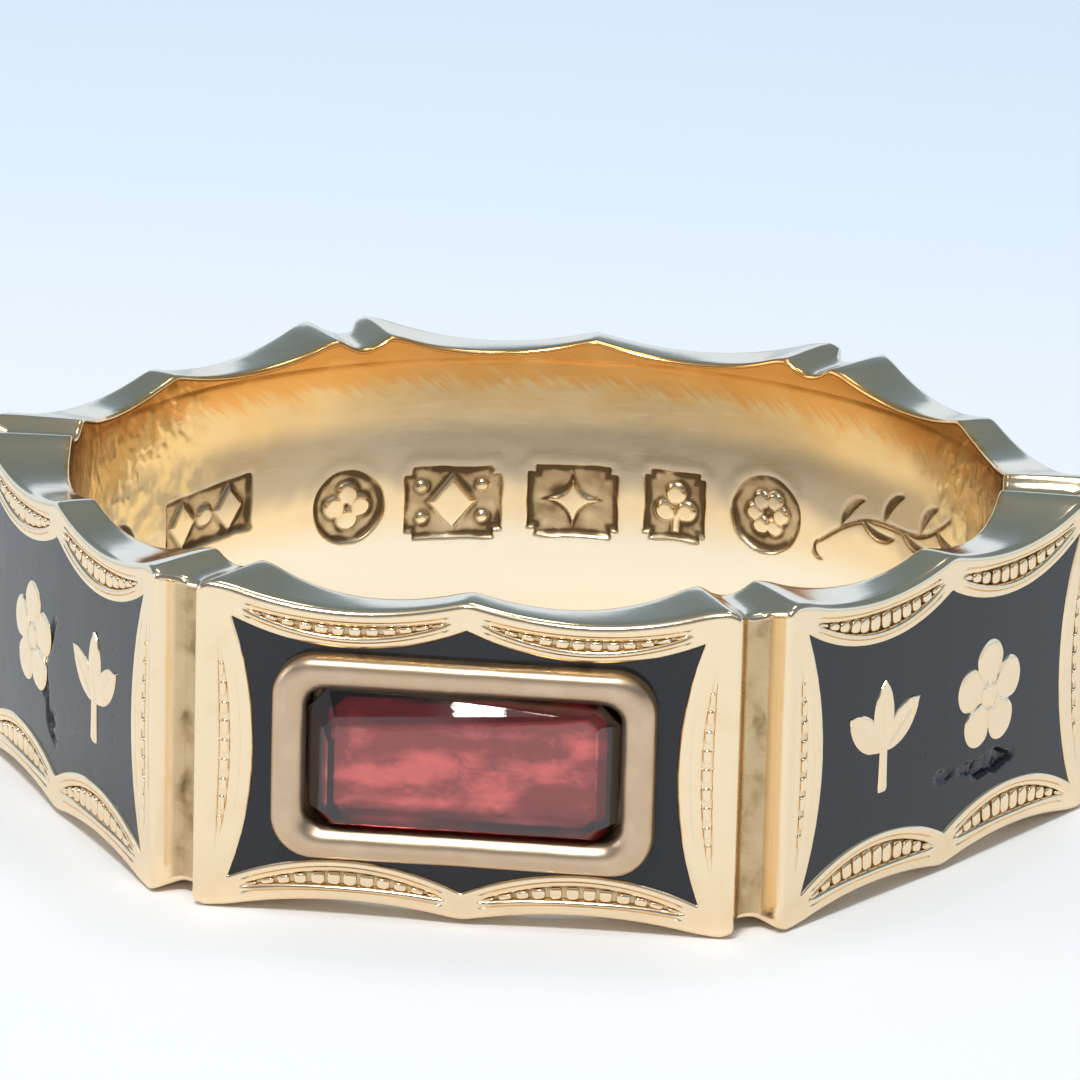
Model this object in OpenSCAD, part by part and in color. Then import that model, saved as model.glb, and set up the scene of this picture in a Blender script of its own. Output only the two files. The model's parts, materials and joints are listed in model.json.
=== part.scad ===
// Mourning ring: a six-panelled gold band with black enamel fields and one rectangular garnet.
// The ring lies on its side: its axis is Z and the origin is the middle of the finger bore.
// Panel 0 carries the stone and faces -Y. The others follow anticlockwise seen from above.

/* [Band] */
// Diameter of the finger bore
bore_d = 17.2; // [16.8:0.1:17.4]
// Distance from the axis to the flat that a panel's face is bowed out from
face_apothem = 9.2; // [9.1:0.05:9.4]
// Height of the band, from the rim's lowest points to its highest
band_h = 6; // [5.8:0.1:6.4]
// Width of a panel between its grooves
panel_w = 9.6; // [9.5:0.05:9.7]
// How far the middle of a panel's face is bowed out
bow = 0.18; // [0.1:0.02:0.3]
// Depth of the grooves between the panels
groove_depth = 0.5; // [0.4:0.05:0.6]

/* [Rims] */
// Depth of the two scallops in each panel's top rim
top_scallop = 0.33; // [0.2:0.01:0.4]
// Depth of the two scallops in each panel's bottom rim
bottom_scallop = 0.25; // [0.15:0.01:0.35]
// How much lower the middle peak is than the end peaks
middle_drop = 0.05; // [0.03:0.01:0.1]
// Distance from a panel's middle to the middle of an end peak
peak_x = 4.5; // [4.4:0.02:4.6]
// Width of the flat on an end peak
peak_flat = 0.3; // [0.2:0.02:0.4]
// Depth of the dip in the rim at each groove
groove_dip = 0.2; // [0.1:0.02:0.3]

/* [Enamel fields] */
// Half width of a field between its corners
field_x = 4.3; // [4.2:0.02:4.36]
// Half width of the field round the stone
stone_field_x = 4.15; // [4.1:0.02:4.3]
// Half height of a field at its corners
field_corner_z = 2.45; // [2.4:0.01:2.5]
// Half height of a field at its middle points
field_middle_z = 2.26; // [2.2:0.01:2.32]
// Half height of the field round the stone at its middle points
stone_field_middle_z = 2.4; // [2.36:0.01:2.44]
// How far the upper and lower lunettes bulge into a field
lunette_bulge = 0.54; // [0.45:0.01:0.6]
// How far they bulge into the field round the stone
stone_lunette_bulge = 0.45; // [0.35:0.01:0.48]
// How far the side lunettes bulge into a field
side_bulge = 0.52; // [0.4:0.01:0.55]
// How far they bulge into the field round the stone
stone_side_bulge = 0.42; // [0.35:0.01:0.5]
// Depth of the pockets that hold the enamel
pocket_depth = 0.36; // [0.3:0.01:0.4]
// How far the enamel lies below the gold round it
enamel_sink = 0.03; // [0.02:0.01:0.06]

/* [Lunette borders] */
// Width of the polished lip between the enamel and a lunette's channel
lip_w = 0.24; // [0.2:0.01:0.28]
// Width of the rim's plain edge above or below a channel
edge_w = 0.2; // [0.16:0.01:0.24]
// Width of the lip beside a side lunette's channel
side_lip_w = 0.36; // [0.3:0.01:0.4]
// Depth of the channels
channel_depth = 0.08; // [0.04:0.01:0.1]

/* [Ornaments] */
// Distance from a flower's middle to its petals' middles
petal_ring_r = 0.62; // [0.58:0.01:0.66]
// Radius of a petal
petal_r = 0.42; // [0.39:0.01:0.44]
// Height of a leaf
leaf_h = 1.3; // [1.1:0.05:1.4]
// Width of a leaf
leaf_w = 0.62; // [0.5:0.02:0.7]
// How far a sprig's side leaves lean from the middle one
leaf_lean = 52; // [45:1:58]
// Distance from a sprig's foot to its leaves' foot
stem_h = 0.77; // [0.7:0.01:0.85]
// Width of a sprig's stem
stem_w = 0.2; // [0.16:0.01:0.26]
// Distance from a panel's middle to its flower's middle
flower_x = 1.35; // [1.25:0.05:1.4]
// Distance from a panel's middle to its sprig's stem
sprig_x = 1.95; // [1.9:0.05:2.05]

/* [Bezel and stone] */
// Width of the bezel outside
bezel_w = 6.75; // [6.6:0.05:6.8]
// Height of the bezel outside
bezel_h = 3.7; // [3.6:0.02:3.74]
// Radius of the bezel's outer corners
bezel_corner_r = 0.75; // [0.6:0.05:0.9]
// Distance from the axis to the bezel's rim
bezel_rim = 9.76; // [9.7:0.02:9.9]
// Width of the opening for the stone
seat_w = 5.54; // [5.4:0.02:5.6]
// Height of the opening for the stone
seat_h = 2.52; // [2.4:0.02:2.6]
// Radius of the opening's corners
seat_corner_r = 0.34; // [0.24:0.02:0.4]
// Distance from the axis to the floor under the stone
seat_floor = 8.88; // [8.86:0.01:8.92]
// Width of the stone's table
table_w = 4.66; // [4.4:0.02:4.8]
// Height of the stone's table
table_h = 1.8; // [1.7:0.02:1.9]
// Height of the stone's crown above its girdle
crown_h = 0.24; // [0.18:0.02:0.28]
// Width of the corners cut off the stone's girdle
girdle_corner = 0.36; // [0.34:0.02:0.5]
// Thickness of the stone's girdle
girdle_t = 0.1; // [0.06:0.02:0.14]
// Width of the corners cut off the stone's table and culet
table_corner = 0.2; // [0.1:0.02:0.3]
// Width of the stone's flat culet
culet_w = 4.1; // [3.8:0.05:4.4]
// Height of the stone's flat culet
culet_h = 1.3; // [1.1:0.05:1.4]
// How far the stone's table lies below the bezel's rim
table_sink = 0.04; // [0:0.02:0.1]

/* [Hidden] */

$fn = 128;
// Sides drawn on the wide circle of a panel's bow
bow_fn = 256;
gold = [0.87, 0.68, 0.4];
black_enamel = [0.07, 0.07, 0.08];
garnet_red = [0.5, 0.03, 0.04];

// Clearance round each piece that the gold holds
fit_gap = 0.02;
// How far a cutting solid runs past what it cuts
past = 1;
// How far an outline runs under the circles that trim it
trim = 0.15;

panels = 6;
panel_turn = 360 / panels;
bore_r = bore_d / 2;
top_z = band_h / 2;
half_side = face_apothem * tan(panel_turn / 2);
face_out = face_apothem + bow;

// Radius of the circle through the ends of a chord, for a bulge of s on half a chord of c
function bulge_r(c, s) = (c * c + s * s) / (2 * s);
// Centre of the circle through a and b that bulges by s to the right of the way from a to b
function bulge_centre(a, b, s) =
    let (d = b - a, len = norm(d), right = [d[1], -d[0]] / len)
    (a + b) / 2 + right * (s - bulge_r(len / 2, s));

bow_r = bulge_r(half_side, bow);
// Distance from the axis to the ends of a panel's bowed face
face_end = face_out - bow_r + sqrt(bow_r * bow_r - panel_w * panel_w / 4);
// Where an end face's foot lies, which sets the radius of the groove's floor
groove_floor_r = norm([panel_w / 2, face_end - groove_depth]);
// Apothem of the solid core behind the panels
core_apothem = face_out - groove_depth;
// Reach of the rim's cutters, from inside the bore to outside the faces
cut_from = bore_r * cos(panel_turn / 2) - 0.5;
cut_to = face_out + past;

scallop_end = peak_x - peak_flat / 2;
// Half width of the dip at a groove, square to the plane between two panels
dip_start = (half_side - peak_x - peak_flat / 2) * cos(panel_turn / 2);
// Distance from the axis to the start of what is cut from, or stands in, the enamel's pockets
pocket_from = face_end - pocket_depth - 0.1;
pocket_reach = face_out - pocket_from + past;

function half_width(k) = k == 0 ? stone_field_x : field_x;
function middle_z(k) = k == 0 ? stone_field_middle_z : field_middle_z;
function bulge(k) = k == 0 ? stone_lunette_bulge : lunette_bulge;
function end_bulge(k) = k == 0 ? stone_side_bulge : side_bulge;

// A panel's own flat frame, X along the panel and Y up, lifted to the distance n from the axis
module on_panel(k, n) {
    rotate([0, 0, k * panel_turn])
        translate([0, -n, 0])
            rotate([90, 0, 0])
                children();
}

// The cylinder whose side is a panel's bowed face, less the depth given
module bowed_face(k, depth) {
    rotate([0, 0, k * panel_turn])
        translate([0, bow_r - face_out, -top_z - past])
            cylinder(r = bow_r - depth, h = band_h + 2 * past, $fn = bow_fn);
}

module rounded_rectangle(w, h, r) {
    square([w - 2 * r, h], center = true);
    square([w, h - 2 * r], center = true);
    for (x = [-1, 1], y = [-1, 1])
        translate([x * (w / 2 - r), y * (h / 2 - r)])
            circle(r = r);
}

// The band seen from above: a round core with the six panels standing out of it
module band_plan() {
    difference() {
        union() {
            intersection() {
                circle(r = groove_floor_r);
                circle(r = core_apothem / cos(panel_turn / 2), $fn = panels);
            }
            for (k = [0 : panels - 1])
                rotate(k * panel_turn)
                    intersection() {
                        translate([-panel_w / 2, -face_out - past])
                            square([panel_w, face_out + past - cut_from]);
                        translate([0, bow_r - face_out])
                            circle(r = bow_r, $fn = bow_fn);
                    }
        }
        circle(r = bore_r);
    }
}

// The circle that cuts one scallop, from the middle peak to an end peak on the side given
module scallop_outline(side, depth, grow) {
    a = [0, top_z - middle_drop];
    b = [scallop_end, top_z];
    c = bulge_centre(a, b, depth);
    translate([side * c[0], c[1]])
        circle(r = bulge_r(norm(b - a) / 2, depth) + grow);
}

// What is cut from the top rim, or mirrored from the bottom one
module rim_cuts(depth) {
    for (k = [0 : panels - 1]) {
        for (side = [-1, 1])
            on_panel(k, cut_from)
                linear_extrude(height = cut_to - cut_from)
                    scallop_outline(side, depth, 0);
        on_panel(k + 0.5, cut_from)
            linear_extrude(height = cut_to + past - cut_from)
                translate([0, top_z - groove_dip + bulge_r(dip_start, groove_dip)])
                    circle(r = bulge_r(dip_start, groove_dip));
    }
}

// The circle of an upper lunette's inner edge on panel k, on the side given
module lunette_outline(k, side, shrink) {
    a = [0, middle_z(k)];
    b = [half_width(k), field_corner_z];
    c = bulge_centre(a, b, bulge(k));
    translate([side * c[0], c[1]])
        circle(r = bulge_r(norm(b - a) / 2, bulge(k)) - shrink);
}

// The circle of a side lunette's inner edge on panel k, on the side given
module side_lunette_outline(k, side, shrink) {
    r = bulge_r(field_corner_z, end_bulge(k));
    translate([side * (half_width(k) - end_bulge(k) + r), 0])
        circle(r = r - shrink);
}

// The field of panel k between its six lunettes: four pointed corners and two middle points
module field_outline(k, grow) {
    difference() {
        square(2 * [half_width(k) + trim, field_corner_z + trim], center = true);
        for (side = [-1, 1]) {
            lunette_outline(k, side, grow);
            mirror([0, 1])
                lunette_outline(k, side, grow);
            side_lunette_outline(k, side, grow);
        }
    }
}

// The sunk channels inside the six lunettes of panel k
module channel_outlines(k) {
    for (side = [-1, 1]) {
        difference() {
            lunette_outline(k, side, lip_w);
            scallop_outline(side, top_scallop, edge_w);
        }
        mirror([0, 1])
            difference() {
                lunette_outline(k, side, lip_w);
                scallop_outline(side, bottom_scallop, edge_w);
            }
        intersection() {
            side_lunette_outline(k, side, side_lip_w);
            translate([side * (panel_w - 2 * edge_w - past) / 2, 0])
                square([past, band_h], center = true);
        }
    }
}

// A five-petalled flower
module flower(grow) {
    circle(r = petal_r + grow);
    for (i = [0 : 4])
        rotate(90 + i * 72)
            translate([petal_ring_r, 0])
                circle(r = petal_r + grow);
}

// A pointed leaf that grows up from the origin
module leaf(grow) {
    r = bulge_r(leaf_h / 2, leaf_w / 2);
    intersection_for (side = [-1, 1])
        translate([side * (r - leaf_w / 2), leaf_h / 2])
            circle(r = r + grow);
}

// A sprig of three leaves on a stem, centred on the origin
module sprig(grow) {
    foot = -(leaf_h + stem_h) / 2;
    for (turn = [-leaf_lean, 0, leaf_lean])
        translate([0, foot + stem_h])
            rotate(turn)
                leaf(grow);
    translate([-stem_w / 2 - grow, foot - grow])
        square([stem_w + 2 * grow, stem_h + leaf_h / 4 + grow]);
}

// The two ornaments of a panel, mirrored on the panels left of the stone
module ornaments(k, grow) {
    side = k > panels / 2 ? -1 : 1;
    translate([side * flower_x, 0])
        flower(grow);
    translate([-side * sprig_x, 0])
        sprig(grow);
}

// What stands up through a panel's enamel: the bezel on panel 0, two ornaments on the others
module standing_gold(k, grow) {
    if (k == 0)
        rounded_rectangle(bezel_w + 2 * grow, bezel_h + 2 * grow, bezel_corner_r + grow);
    else
        ornaments(k, grow);
}

// What is cut from panel k for its enamel
module enamel_pocket(k) {
    difference() {
        on_panel(k, pocket_from)
            linear_extrude(height = pocket_reach)
                difference() {
                    field_outline(k, 0);
                    standing_gold(k, 0);
                }
        bowed_face(k, pocket_depth);
    }
}

// What is cut from panel k for its six channels
module channel_cuts(k) {
    difference() {
        on_panel(k, pocket_from)
            linear_extrude(height = pocket_reach)
                channel_outlines(k);
        bowed_face(k, channel_depth);
    }
}

module gold_band() {
    color(gold)
        difference() {
            union() {
                difference() {
                    translate([0, 0, -top_z])
                        linear_extrude(height = band_h)
                            band_plan();
                    rim_cuts(top_scallop);
                    mirror([0, 0, 1])
                        rim_cuts(bottom_scallop);
                    for (k = [0 : panels - 1]) {
                        enamel_pocket(k);
                        channel_cuts(k);
                    }
                }
                on_panel(0, pocket_from)
                    linear_extrude(height = bezel_rim - pocket_from)
                        rounded_rectangle(bezel_w, bezel_h, bezel_corner_r);
            }
            on_panel(0, seat_floor)
                linear_extrude(height = bezel_rim - seat_floor + past)
                    rounded_rectangle(seat_w, seat_h, seat_corner_r);
        }
}

module enamel(k) {
    color(black_enamel)
        intersection() {
            on_panel(k, pocket_from)
                linear_extrude(height = pocket_reach)
                    difference() {
                        field_outline(k, -fit_gap);
                        standing_gold(k, fit_gap);
                    }
            difference() {
                bowed_face(k, enamel_sink);
                bowed_face(k, pocket_depth - fit_gap);
            }
        }
}

// One ring of a cut stone: a rectangle with its corners cut off, at the depth given
function cut_ring(w, h, corner, z) = [
    for (q = [[1, -1], [1, 1], [-1, 1], [-1, -1]], first = [0, 1])
        let (by_height = (q[0] * q[1] > 0) == (first == 1))
        [q[0] * (w / 2 - (by_height ? corner : 0)), q[1] * (h / 2 - (by_height ? 0 : corner)), z]
];

// A rectangular stone: table, eight crown facets, girdle, eight facets below it and a flat culet
module garnet() {
    corners = 8;
    girdle_w = seat_w - 2 * fit_gap;
    girdle_h = seat_h - 2 * fit_gap;
    girdle_z = bezel_rim - table_sink - crown_h;
    rings = [
        cut_ring(culet_w, culet_h, table_corner, seat_floor + fit_gap),
        cut_ring(girdle_w, girdle_h, girdle_corner, girdle_z - girdle_t),
        cut_ring(girdle_w, girdle_h, girdle_corner, girdle_z),
        cut_ring(table_w, table_h, table_corner, girdle_z + crown_h)
    ];
    last = len(rings) - 1;
    sides = [
        for (i = [0 : last - 1], j = [0 : corners - 1])
            let (a = i * corners + j, b = i * corners + (j + 1) % corners)
            [a, a + corners, b + corners, b]
    ];
    culet = [for (j = [0 : corners - 1]) j];
    table = [for (j = [corners - 1 : -1 : 0]) last * corners + j];
    color(garnet_red)
        on_panel(0, 0)
            polyhedron(points = [for (ring = rings) each ring], faces = concat([culet], sides, [table]), convexity = 2);
}

gold_band();
enamel(0);  // enamel_stone_panel
enamel(1);  // enamel_panel_1
enamel(2);  // enamel_panel_2
enamel(3);  // enamel_panel_3
enamel(4);  // enamel_panel_4
enamel(5);  // enamel_panel_5
garnet();
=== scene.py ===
"""Dresses a mourning ring: worn gold with chased lunettes, black enamel and a garnet over crinkled foil.

Panel k's own frame has u along the panel, z up and n out from the ring's axis. Panel 0 carries the stone.
"""

import json
import math

import bpy
import numpy as np
from mathutils import Matrix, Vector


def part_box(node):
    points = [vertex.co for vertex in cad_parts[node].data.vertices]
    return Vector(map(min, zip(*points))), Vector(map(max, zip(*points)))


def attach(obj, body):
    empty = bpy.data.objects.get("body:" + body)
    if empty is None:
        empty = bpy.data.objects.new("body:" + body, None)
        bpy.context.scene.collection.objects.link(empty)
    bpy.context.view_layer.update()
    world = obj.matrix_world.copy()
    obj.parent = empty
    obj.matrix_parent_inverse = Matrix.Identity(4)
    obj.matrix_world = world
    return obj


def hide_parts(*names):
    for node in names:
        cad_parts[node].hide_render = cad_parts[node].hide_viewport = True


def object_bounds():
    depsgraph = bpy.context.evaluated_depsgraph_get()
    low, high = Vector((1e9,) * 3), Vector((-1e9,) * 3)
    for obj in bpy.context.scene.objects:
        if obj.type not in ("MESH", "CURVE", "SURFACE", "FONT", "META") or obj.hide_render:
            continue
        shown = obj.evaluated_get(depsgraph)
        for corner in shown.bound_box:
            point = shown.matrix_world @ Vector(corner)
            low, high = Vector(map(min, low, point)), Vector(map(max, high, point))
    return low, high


bl_info = {
    "name": "Mourning ring",
    "version": (1, 0, 0),
    "blender": (4, 5, 0),
    "location": "View3D > Sidebar > Ring",
    "description": "Makes the gold, enamel, garnet and stage of a six-panelled mourning ring",
    "category": "Object",
}

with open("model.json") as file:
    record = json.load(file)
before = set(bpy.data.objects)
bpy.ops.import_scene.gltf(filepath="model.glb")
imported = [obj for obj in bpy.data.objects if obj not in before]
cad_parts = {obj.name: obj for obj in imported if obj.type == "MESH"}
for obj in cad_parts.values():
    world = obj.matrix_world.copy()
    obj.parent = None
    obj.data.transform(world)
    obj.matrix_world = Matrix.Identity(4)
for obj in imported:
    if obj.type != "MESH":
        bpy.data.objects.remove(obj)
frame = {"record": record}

MM = 0.001
PANELS = 6
TURN = math.tau / PANELS

CAD_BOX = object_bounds()
BAND_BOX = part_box("gold_band")
STONE_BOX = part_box("garnet")
BACK_FIELD_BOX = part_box("enamel_panel_3")
BORE = next(m for m in frame["record"]["mounts"] if m["name"] == "finger_bore")
BORE_RADIUS = BORE["dims"]["r_mm"] * MM
FIT_GAP = 0.02 * MM

# How far the solids' enamel lies below the face, and how far the dressed enamel does
FRAME_SINK = 0.03 * MM
ENAMEL_SINK = 0.045 * MM

# How far the enamel reaches under the lips, and how far above its pocket's floor it starts
ENAMEL_GROWTH = 0.004 * MM
ENAMEL_FOOT = 0.01 * MM

FACE_OUT = BACK_FIELD_BOX[1].y + FRAME_SINK
FIELD_X = BACK_FIELD_BOX[1].x - FIT_GAP
CORNER_Z = BACK_FIELD_BOX[1].z - FIT_GAP


def length(name, text, millimetres):
    """A property in metres whose default is given in millimetres."""
    return bpy.props.FloatProperty(
        name=name, description=text, default=millimetres * MM, min=0.0, precision=6, unit="LENGTH"
    )


def degrees(name, text, value):
    """An angle whose default is given in degrees."""
    return bpy.props.FloatProperty(
        name=name, description=text, default=math.radians(value), min=0.0, max=math.pi, unit="ROTATION"
    )


def share(name, text, value):
    """A property from nothing to all."""
    return bpy.props.FloatProperty(
        name=name, description=text, default=value, min=0.0, max=1.0, subtype="FACTOR"
    )


def colour(name, text, value):
    """A colour property."""
    return bpy.props.FloatVectorProperty(
        name=name, description=text, default=value, size=3, min=0.0, max=1.0, subtype="COLOR"
    )


def settings(group, name, text):
    """A group of settings."""
    return bpy.props.PointerProperty(type=group, name=name, description=text)


class RingBand(bpy.types.PropertyGroup):
    """Sizes of the gold band."""

    bore_radius: length("Bore radius", "Radius of the finger bore", BORE_RADIUS / MM)
    rim_z: length("Rim height", "Height of the end peaks above the band's middle", BAND_BOX[1].z / MM)
    face_out: length("Face distance", "Distance from the axis to a face's middle", FACE_OUT / MM)
    bow: length("Bow", "How far the middle of a face is bowed out", 0.18)
    panel_width: length("Panel width", "Width of a panel between its grooves", 9.6)
    groove_depth: length("Groove depth", "Depth of the grooves between the panels", 0.5)
    top_scallop: length("Upper scallops", "Depth of the scallops in the top rim", 0.33)
    bottom_scallop: length("Lower scallops", "Depth of the scallops in the bottom rim", 0.25)
    middle_drop: length("Middle drop", "How much lower the middle peak is than the end peaks", 0.05)
    scallop_end: length("Scallop end", "Distance from a panel's middle to the end of a scallop", 4.35)
    groove_dip: length("Groove dip", "Depth of the dip in the rim at a groove", 0.2)
    edge_round: length("Rim rounding", "Radius of the rim's outer edge", 0.13)
    bore_round: length("Bore rounding", "Radius of the rim's inner edge", 0.08)
    pocket_depth: length("Pocket depth", "Depth of the pockets under the enamel", 0.36)


class RingBorder(bpy.types.PropertyGroup):
    """Sizes of the enamel fields and of the lunettes round them."""

    field_x: length("Field width", "Half width of a field at its corners", FIELD_X / MM)
    stone_field_x: length("Stone field width", "Half width of the field round the stone", 4.15)
    corner_z: length("Corner height", "Half height of a field at its corners", CORNER_Z / MM)
    middle_z: length("Middle height", "Half height of a field at its middle points", 2.26)
    stone_middle_z: length("Stone field height", "Half height at the middle points round the stone", 2.4)
    bulge: length("Lunette bulge", "How far the lunettes bulge into a field", 0.54)
    stone_bulge: length("Stone lunette bulge", "How far they bulge into the field round the stone", 0.45)
    side_bulge: length("Side bulge", "How far the side lunettes bulge into a field", 0.52)
    stone_side_bulge: length("Stone side bulge", "How far they bulge into the field round the stone", 0.42)
    lip: length("Lip", "Width of the polished lip beside the enamel", 0.22)
    outer_edge: length("Outer edge", "Width of the plain edge outside a lunette's channel", 0.17)
    channel_depth: length("Channel depth", "Depth of the chased channels", 0.085)
    bead_pitch: length("Bead pitch", "Distance from one bead to the next", 0.3)
    lip_round: length("Lip rounding", "How far the edges of a lip are rounded down", 0.05)


class RingOrnament(bpy.types.PropertyGroup):
    """Sizes of the flowers and sprigs that stand in the enamel."""

    flower_x: length("Flower place", "Distance from a panel's middle to its flower's middle", 1.35)
    petal_circle: length("Petal circle", "Distance from a flower's middle to its petals' middles", 0.62)
    petal_radius: length("Petal radius", "Radius of a petal", 0.42)
    boss: length("Boss", "Radius of a flower's middle boss", 0.24)
    sprig_x: length("Sprig place", "Distance from a panel's middle to its sprig's stem", 1.95)
    leaf_height: length("Leaf height", "Height of a leaf", 1.3)
    leaf_width: length("Leaf width", "Width of a leaf", 0.62)
    leaf_lean: degrees("Leaf lean", "How far a sprig's side leaves lean from the middle one", 52)
    stem_height: length("Stem height", "Distance from a sprig's foot to its leaves' foot", 0.77)
    stem_half: length("Stem half width", "Half the width of a stem below its leaves", 0.1)
    root: length("Root", "How far below the face an ornament's foot lies", 0.3)


class RingBezel(bpy.types.PropertyGroup):
    """Sizes of the bezel, the stone and its foil."""

    width: length("Bezel width", "Width of the bezel outside", 6.75)
    height: length("Bezel height", "Height of the bezel outside", 3.7)
    corner: length("Bezel corner", "Radius of the bezel's outer corners", 0.75)
    rim: length("Bezel rim", "Distance from the axis to the bezel's rim", -BAND_BOX[0].y / MM)
    seat_width: length("Seat width", "Width of the opening for the stone", 5.54)
    seat_height: length("Seat height", "Height of the opening for the stone", 2.52)
    seat_corner: length("Seat corner", "Radius of the opening's corners", 0.34)
    table_width: length("Table width", "Width of the stone's table", 4.7)
    table_low: length("Table bottom", "How far the table reaches below the stone's middle", 1.13)
    table_left: length("Table top left", "How far it reaches above the middle at its left end", 0.5)
    table_right: length("Table top right", "How far it reaches above the middle at its right end", 0.98)
    crown: length("Crown", "Height of the stone's crown above its girdle", 0.28)
    step: length("Step", "Drop from the table to the step between the crown's two rows of facets", 0.06)
    girdle: length("Girdle", "Thickness of the stone's girdle", 0.1)


class RingFinish(bpy.types.PropertyGroup):
    """Colours and wear of the finishes."""

    gold: colour("Gold", "Colour of the worn outside", (0.93, 0.74, 0.5))
    bore_gold: colour("Bore gold", "Colour of the polished bore", (1.0, 0.77, 0.46))
    dirt: colour("Dirt", "Colour of the tarnish in the recesses", (0.09, 0.05, 0.022))
    enamel: colour("Enamel", "Colour of the fired enamel", (0.012, 0.012, 0.014))
    garnet: colour("Garnet", "Colour of the stone", (0.72, 0.15, 0.14))
    wear: share("Wear", "How strongly scratches and tarnish show", 1.0)


def bulge_radius(half_chord, bulge):
    """Radius of the circle through a chord's ends.

    It is the half chord squared plus the bulge squared, over twice the bulge.
    """
    return (half_chord**2 + bulge**2) / (2 * bulge)


def sagging_arc(u, left, right, bulge):
    """Height at u of the arc that bulges down between two points.

    It is the circle's centre less the root of its radius squared less the distance along u squared.
    """
    along = np.subtract(right, left)
    chord = np.hypot(*along)
    radius = bulge_radius(chord / 2, bulge)
    down = np.array([along[1], -along[0]]) / chord
    centre = np.add(left, right) / 2 + down * (bulge - radius)
    return centre[1] - np.sqrt(np.maximum(radius**2 - (u - centre[0]) ** 2, 0))


def smooth_min(a, b, reach):
    """The lesser of a and b, less a quarter of the reach where they meet, so that the corner is round."""
    near = np.clip(1 - np.abs(a - b) / reach, 0, 1)
    return np.minimum(a, b) - near**2 * reach / 4


def smooth_step(x, low, high):
    """0 below low, 1 above high, and 3 t squared less 2 t cubed between them."""
    t = np.clip((x - low) / (high - low), 0, 1)
    return t * t * (3 - 2 * t)


def place(k, u, z, n):
    """Points of the ring from panel k's own u, z and n: a turn about the axis by k panels."""
    turn = k * TURN
    x = n * math.sin(turn) + u * math.cos(turn)
    y = u * math.sin(turn) - n * math.cos(turn)
    return np.stack(np.broadcast_arrays(x, y, z), axis=-1)


def ripple(a, b, seed, waves=7):
    """A smooth uneven field of a and b between about -1 and 1.

    It is a sum of seeded sines, each with a direction, a phase and a pace of its own.
    """
    draw = np.random.default_rng(seed)
    total = 0
    for _ in range(waves):
        turn, phase, pace = draw.uniform(0, math.tau, 2).tolist() + [draw.uniform(0.6, 1.7)]
        total = total + np.sin(pace * (a * math.cos(turn) + b * math.sin(turn)) + phase)
    return total / math.sqrt(waves) / 1.4


# How round the rim's middle peak and its other peaks are, and how far a groove's dip reaches past it
MIDDLE_ROUND, PEAK_ROUND = 0.11 * MM, 0.09 * MM
DIP_REACH = 0.15 * MM


class Panel:
    """The curves of one panel, worked out from the band's and the border's sizes."""

    def __init__(self, ring, number):
        band, border = ring.band, ring.border
        stone = number == 0
        self.ring = ring
        self.number = number
        self.half_width = border.stone_field_x if stone else border.field_x
        self.corner_z = border.corner_z
        self.middle_z = border.stone_middle_z if stone else border.middle_z
        self.bulge = border.stone_bulge if stone else border.bulge
        self.side_bulge = border.stone_side_bulge if stone else border.side_bulge
        self.half_side = (band.face_out - band.bow) * math.tan(TURN / 2)
        self.bow_radius = bulge_radius(self.half_side, band.bow)

    def face(self, u):
        """Distance n of the face: the bow circle's height over u."""
        return self.ring.band.face_out - self.bow_radius + np.sqrt(self.bow_radius**2 - u**2)

    def field_top(self, u):
        """Height of the field's upper outline: two arcs that bulge down and meet in a point at the middle."""
        return sagging_arc(np.abs(u), (0, self.middle_z), (self.half_width, self.corner_z), self.bulge)

    def field_side(self, z):
        """Half width of the field at height z: a corner's half width less an arc that bulges inwards."""
        return self.half_width + sagging_arc(z, (-self.corner_z, 0), (self.corner_z, 0), self.side_bulge)

    def rim(self, u, n, scallop):
        """Height of the rim in the direction of u and n.

        It is the least of the scallops' arcs, the flat peaks and a groove's dip, merged smoothly.
        """
        band = self.ring.band
        face_end = self.face(band.panel_width / 2)
        along = np.sqrt((u / n * face_end) ** 2 + MIDDLE_ROUND**2)
        arcs = sagging_arc(along, (0, band.rim_z - band.middle_drop), (band.scallop_end, band.rim_z), scallop)
        reach = np.hypot(face_end, band.panel_width / 2)
        from_groove = reach * np.sin(TURN / 2 - np.abs(np.arctan2(u, n)))
        dip_half = (self.half_side - band.panel_width / 2 + DIP_REACH) * math.cos(TURN / 2)
        dip_radius = bulge_radius(dip_half, band.groove_dip)
        dip_rise = dip_radius - np.sqrt(np.maximum(dip_radius**2 - from_groove**2, 0))
        dip = band.rim_z - band.groove_dip + dip_rise
        return smooth_min(smooth_min(arcs, band.rim_z, PEAK_ROUND), dip, PEAK_ROUND)


# Across a lunette: stations as shares of the lip's, the channel's and the outer edge's width. The
# depths there are shares of the lip's rounding and of the channel's depth, and a fine line runs
# along each side of the channel.
LIP_STATIONS = np.array([0, 0.06, 0.16, 0.34, 0.5, 0.56, 0.62, 0.72, 0.86, 0.95])
LIP_FIELD_SIDE = np.array([1, 0.4, 0.1, 0, 0, 0, 0, 0, 0, 0])
LIP_CHANNEL_SIDE = np.array([0, 0, 0, 0, 0, 0.6, 0, 0.02, 0.2, 0.6])
CHANNEL_STATIONS = np.array([0, 0.07, 0.2, 0.8, 0.93, 1])
CHANNEL_FLOOR = np.array([0.75, 1.15, 1, 1, 1.15, 0.75])
EDGE_STATIONS = np.array([0.08, 0.25, 0.42, 0.5, 0.58, 0.9, 1])
EDGE_CHANNEL_SIDE = np.array([0.6, 0.15, 0, 0.6, 0, 0, 0])


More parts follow.
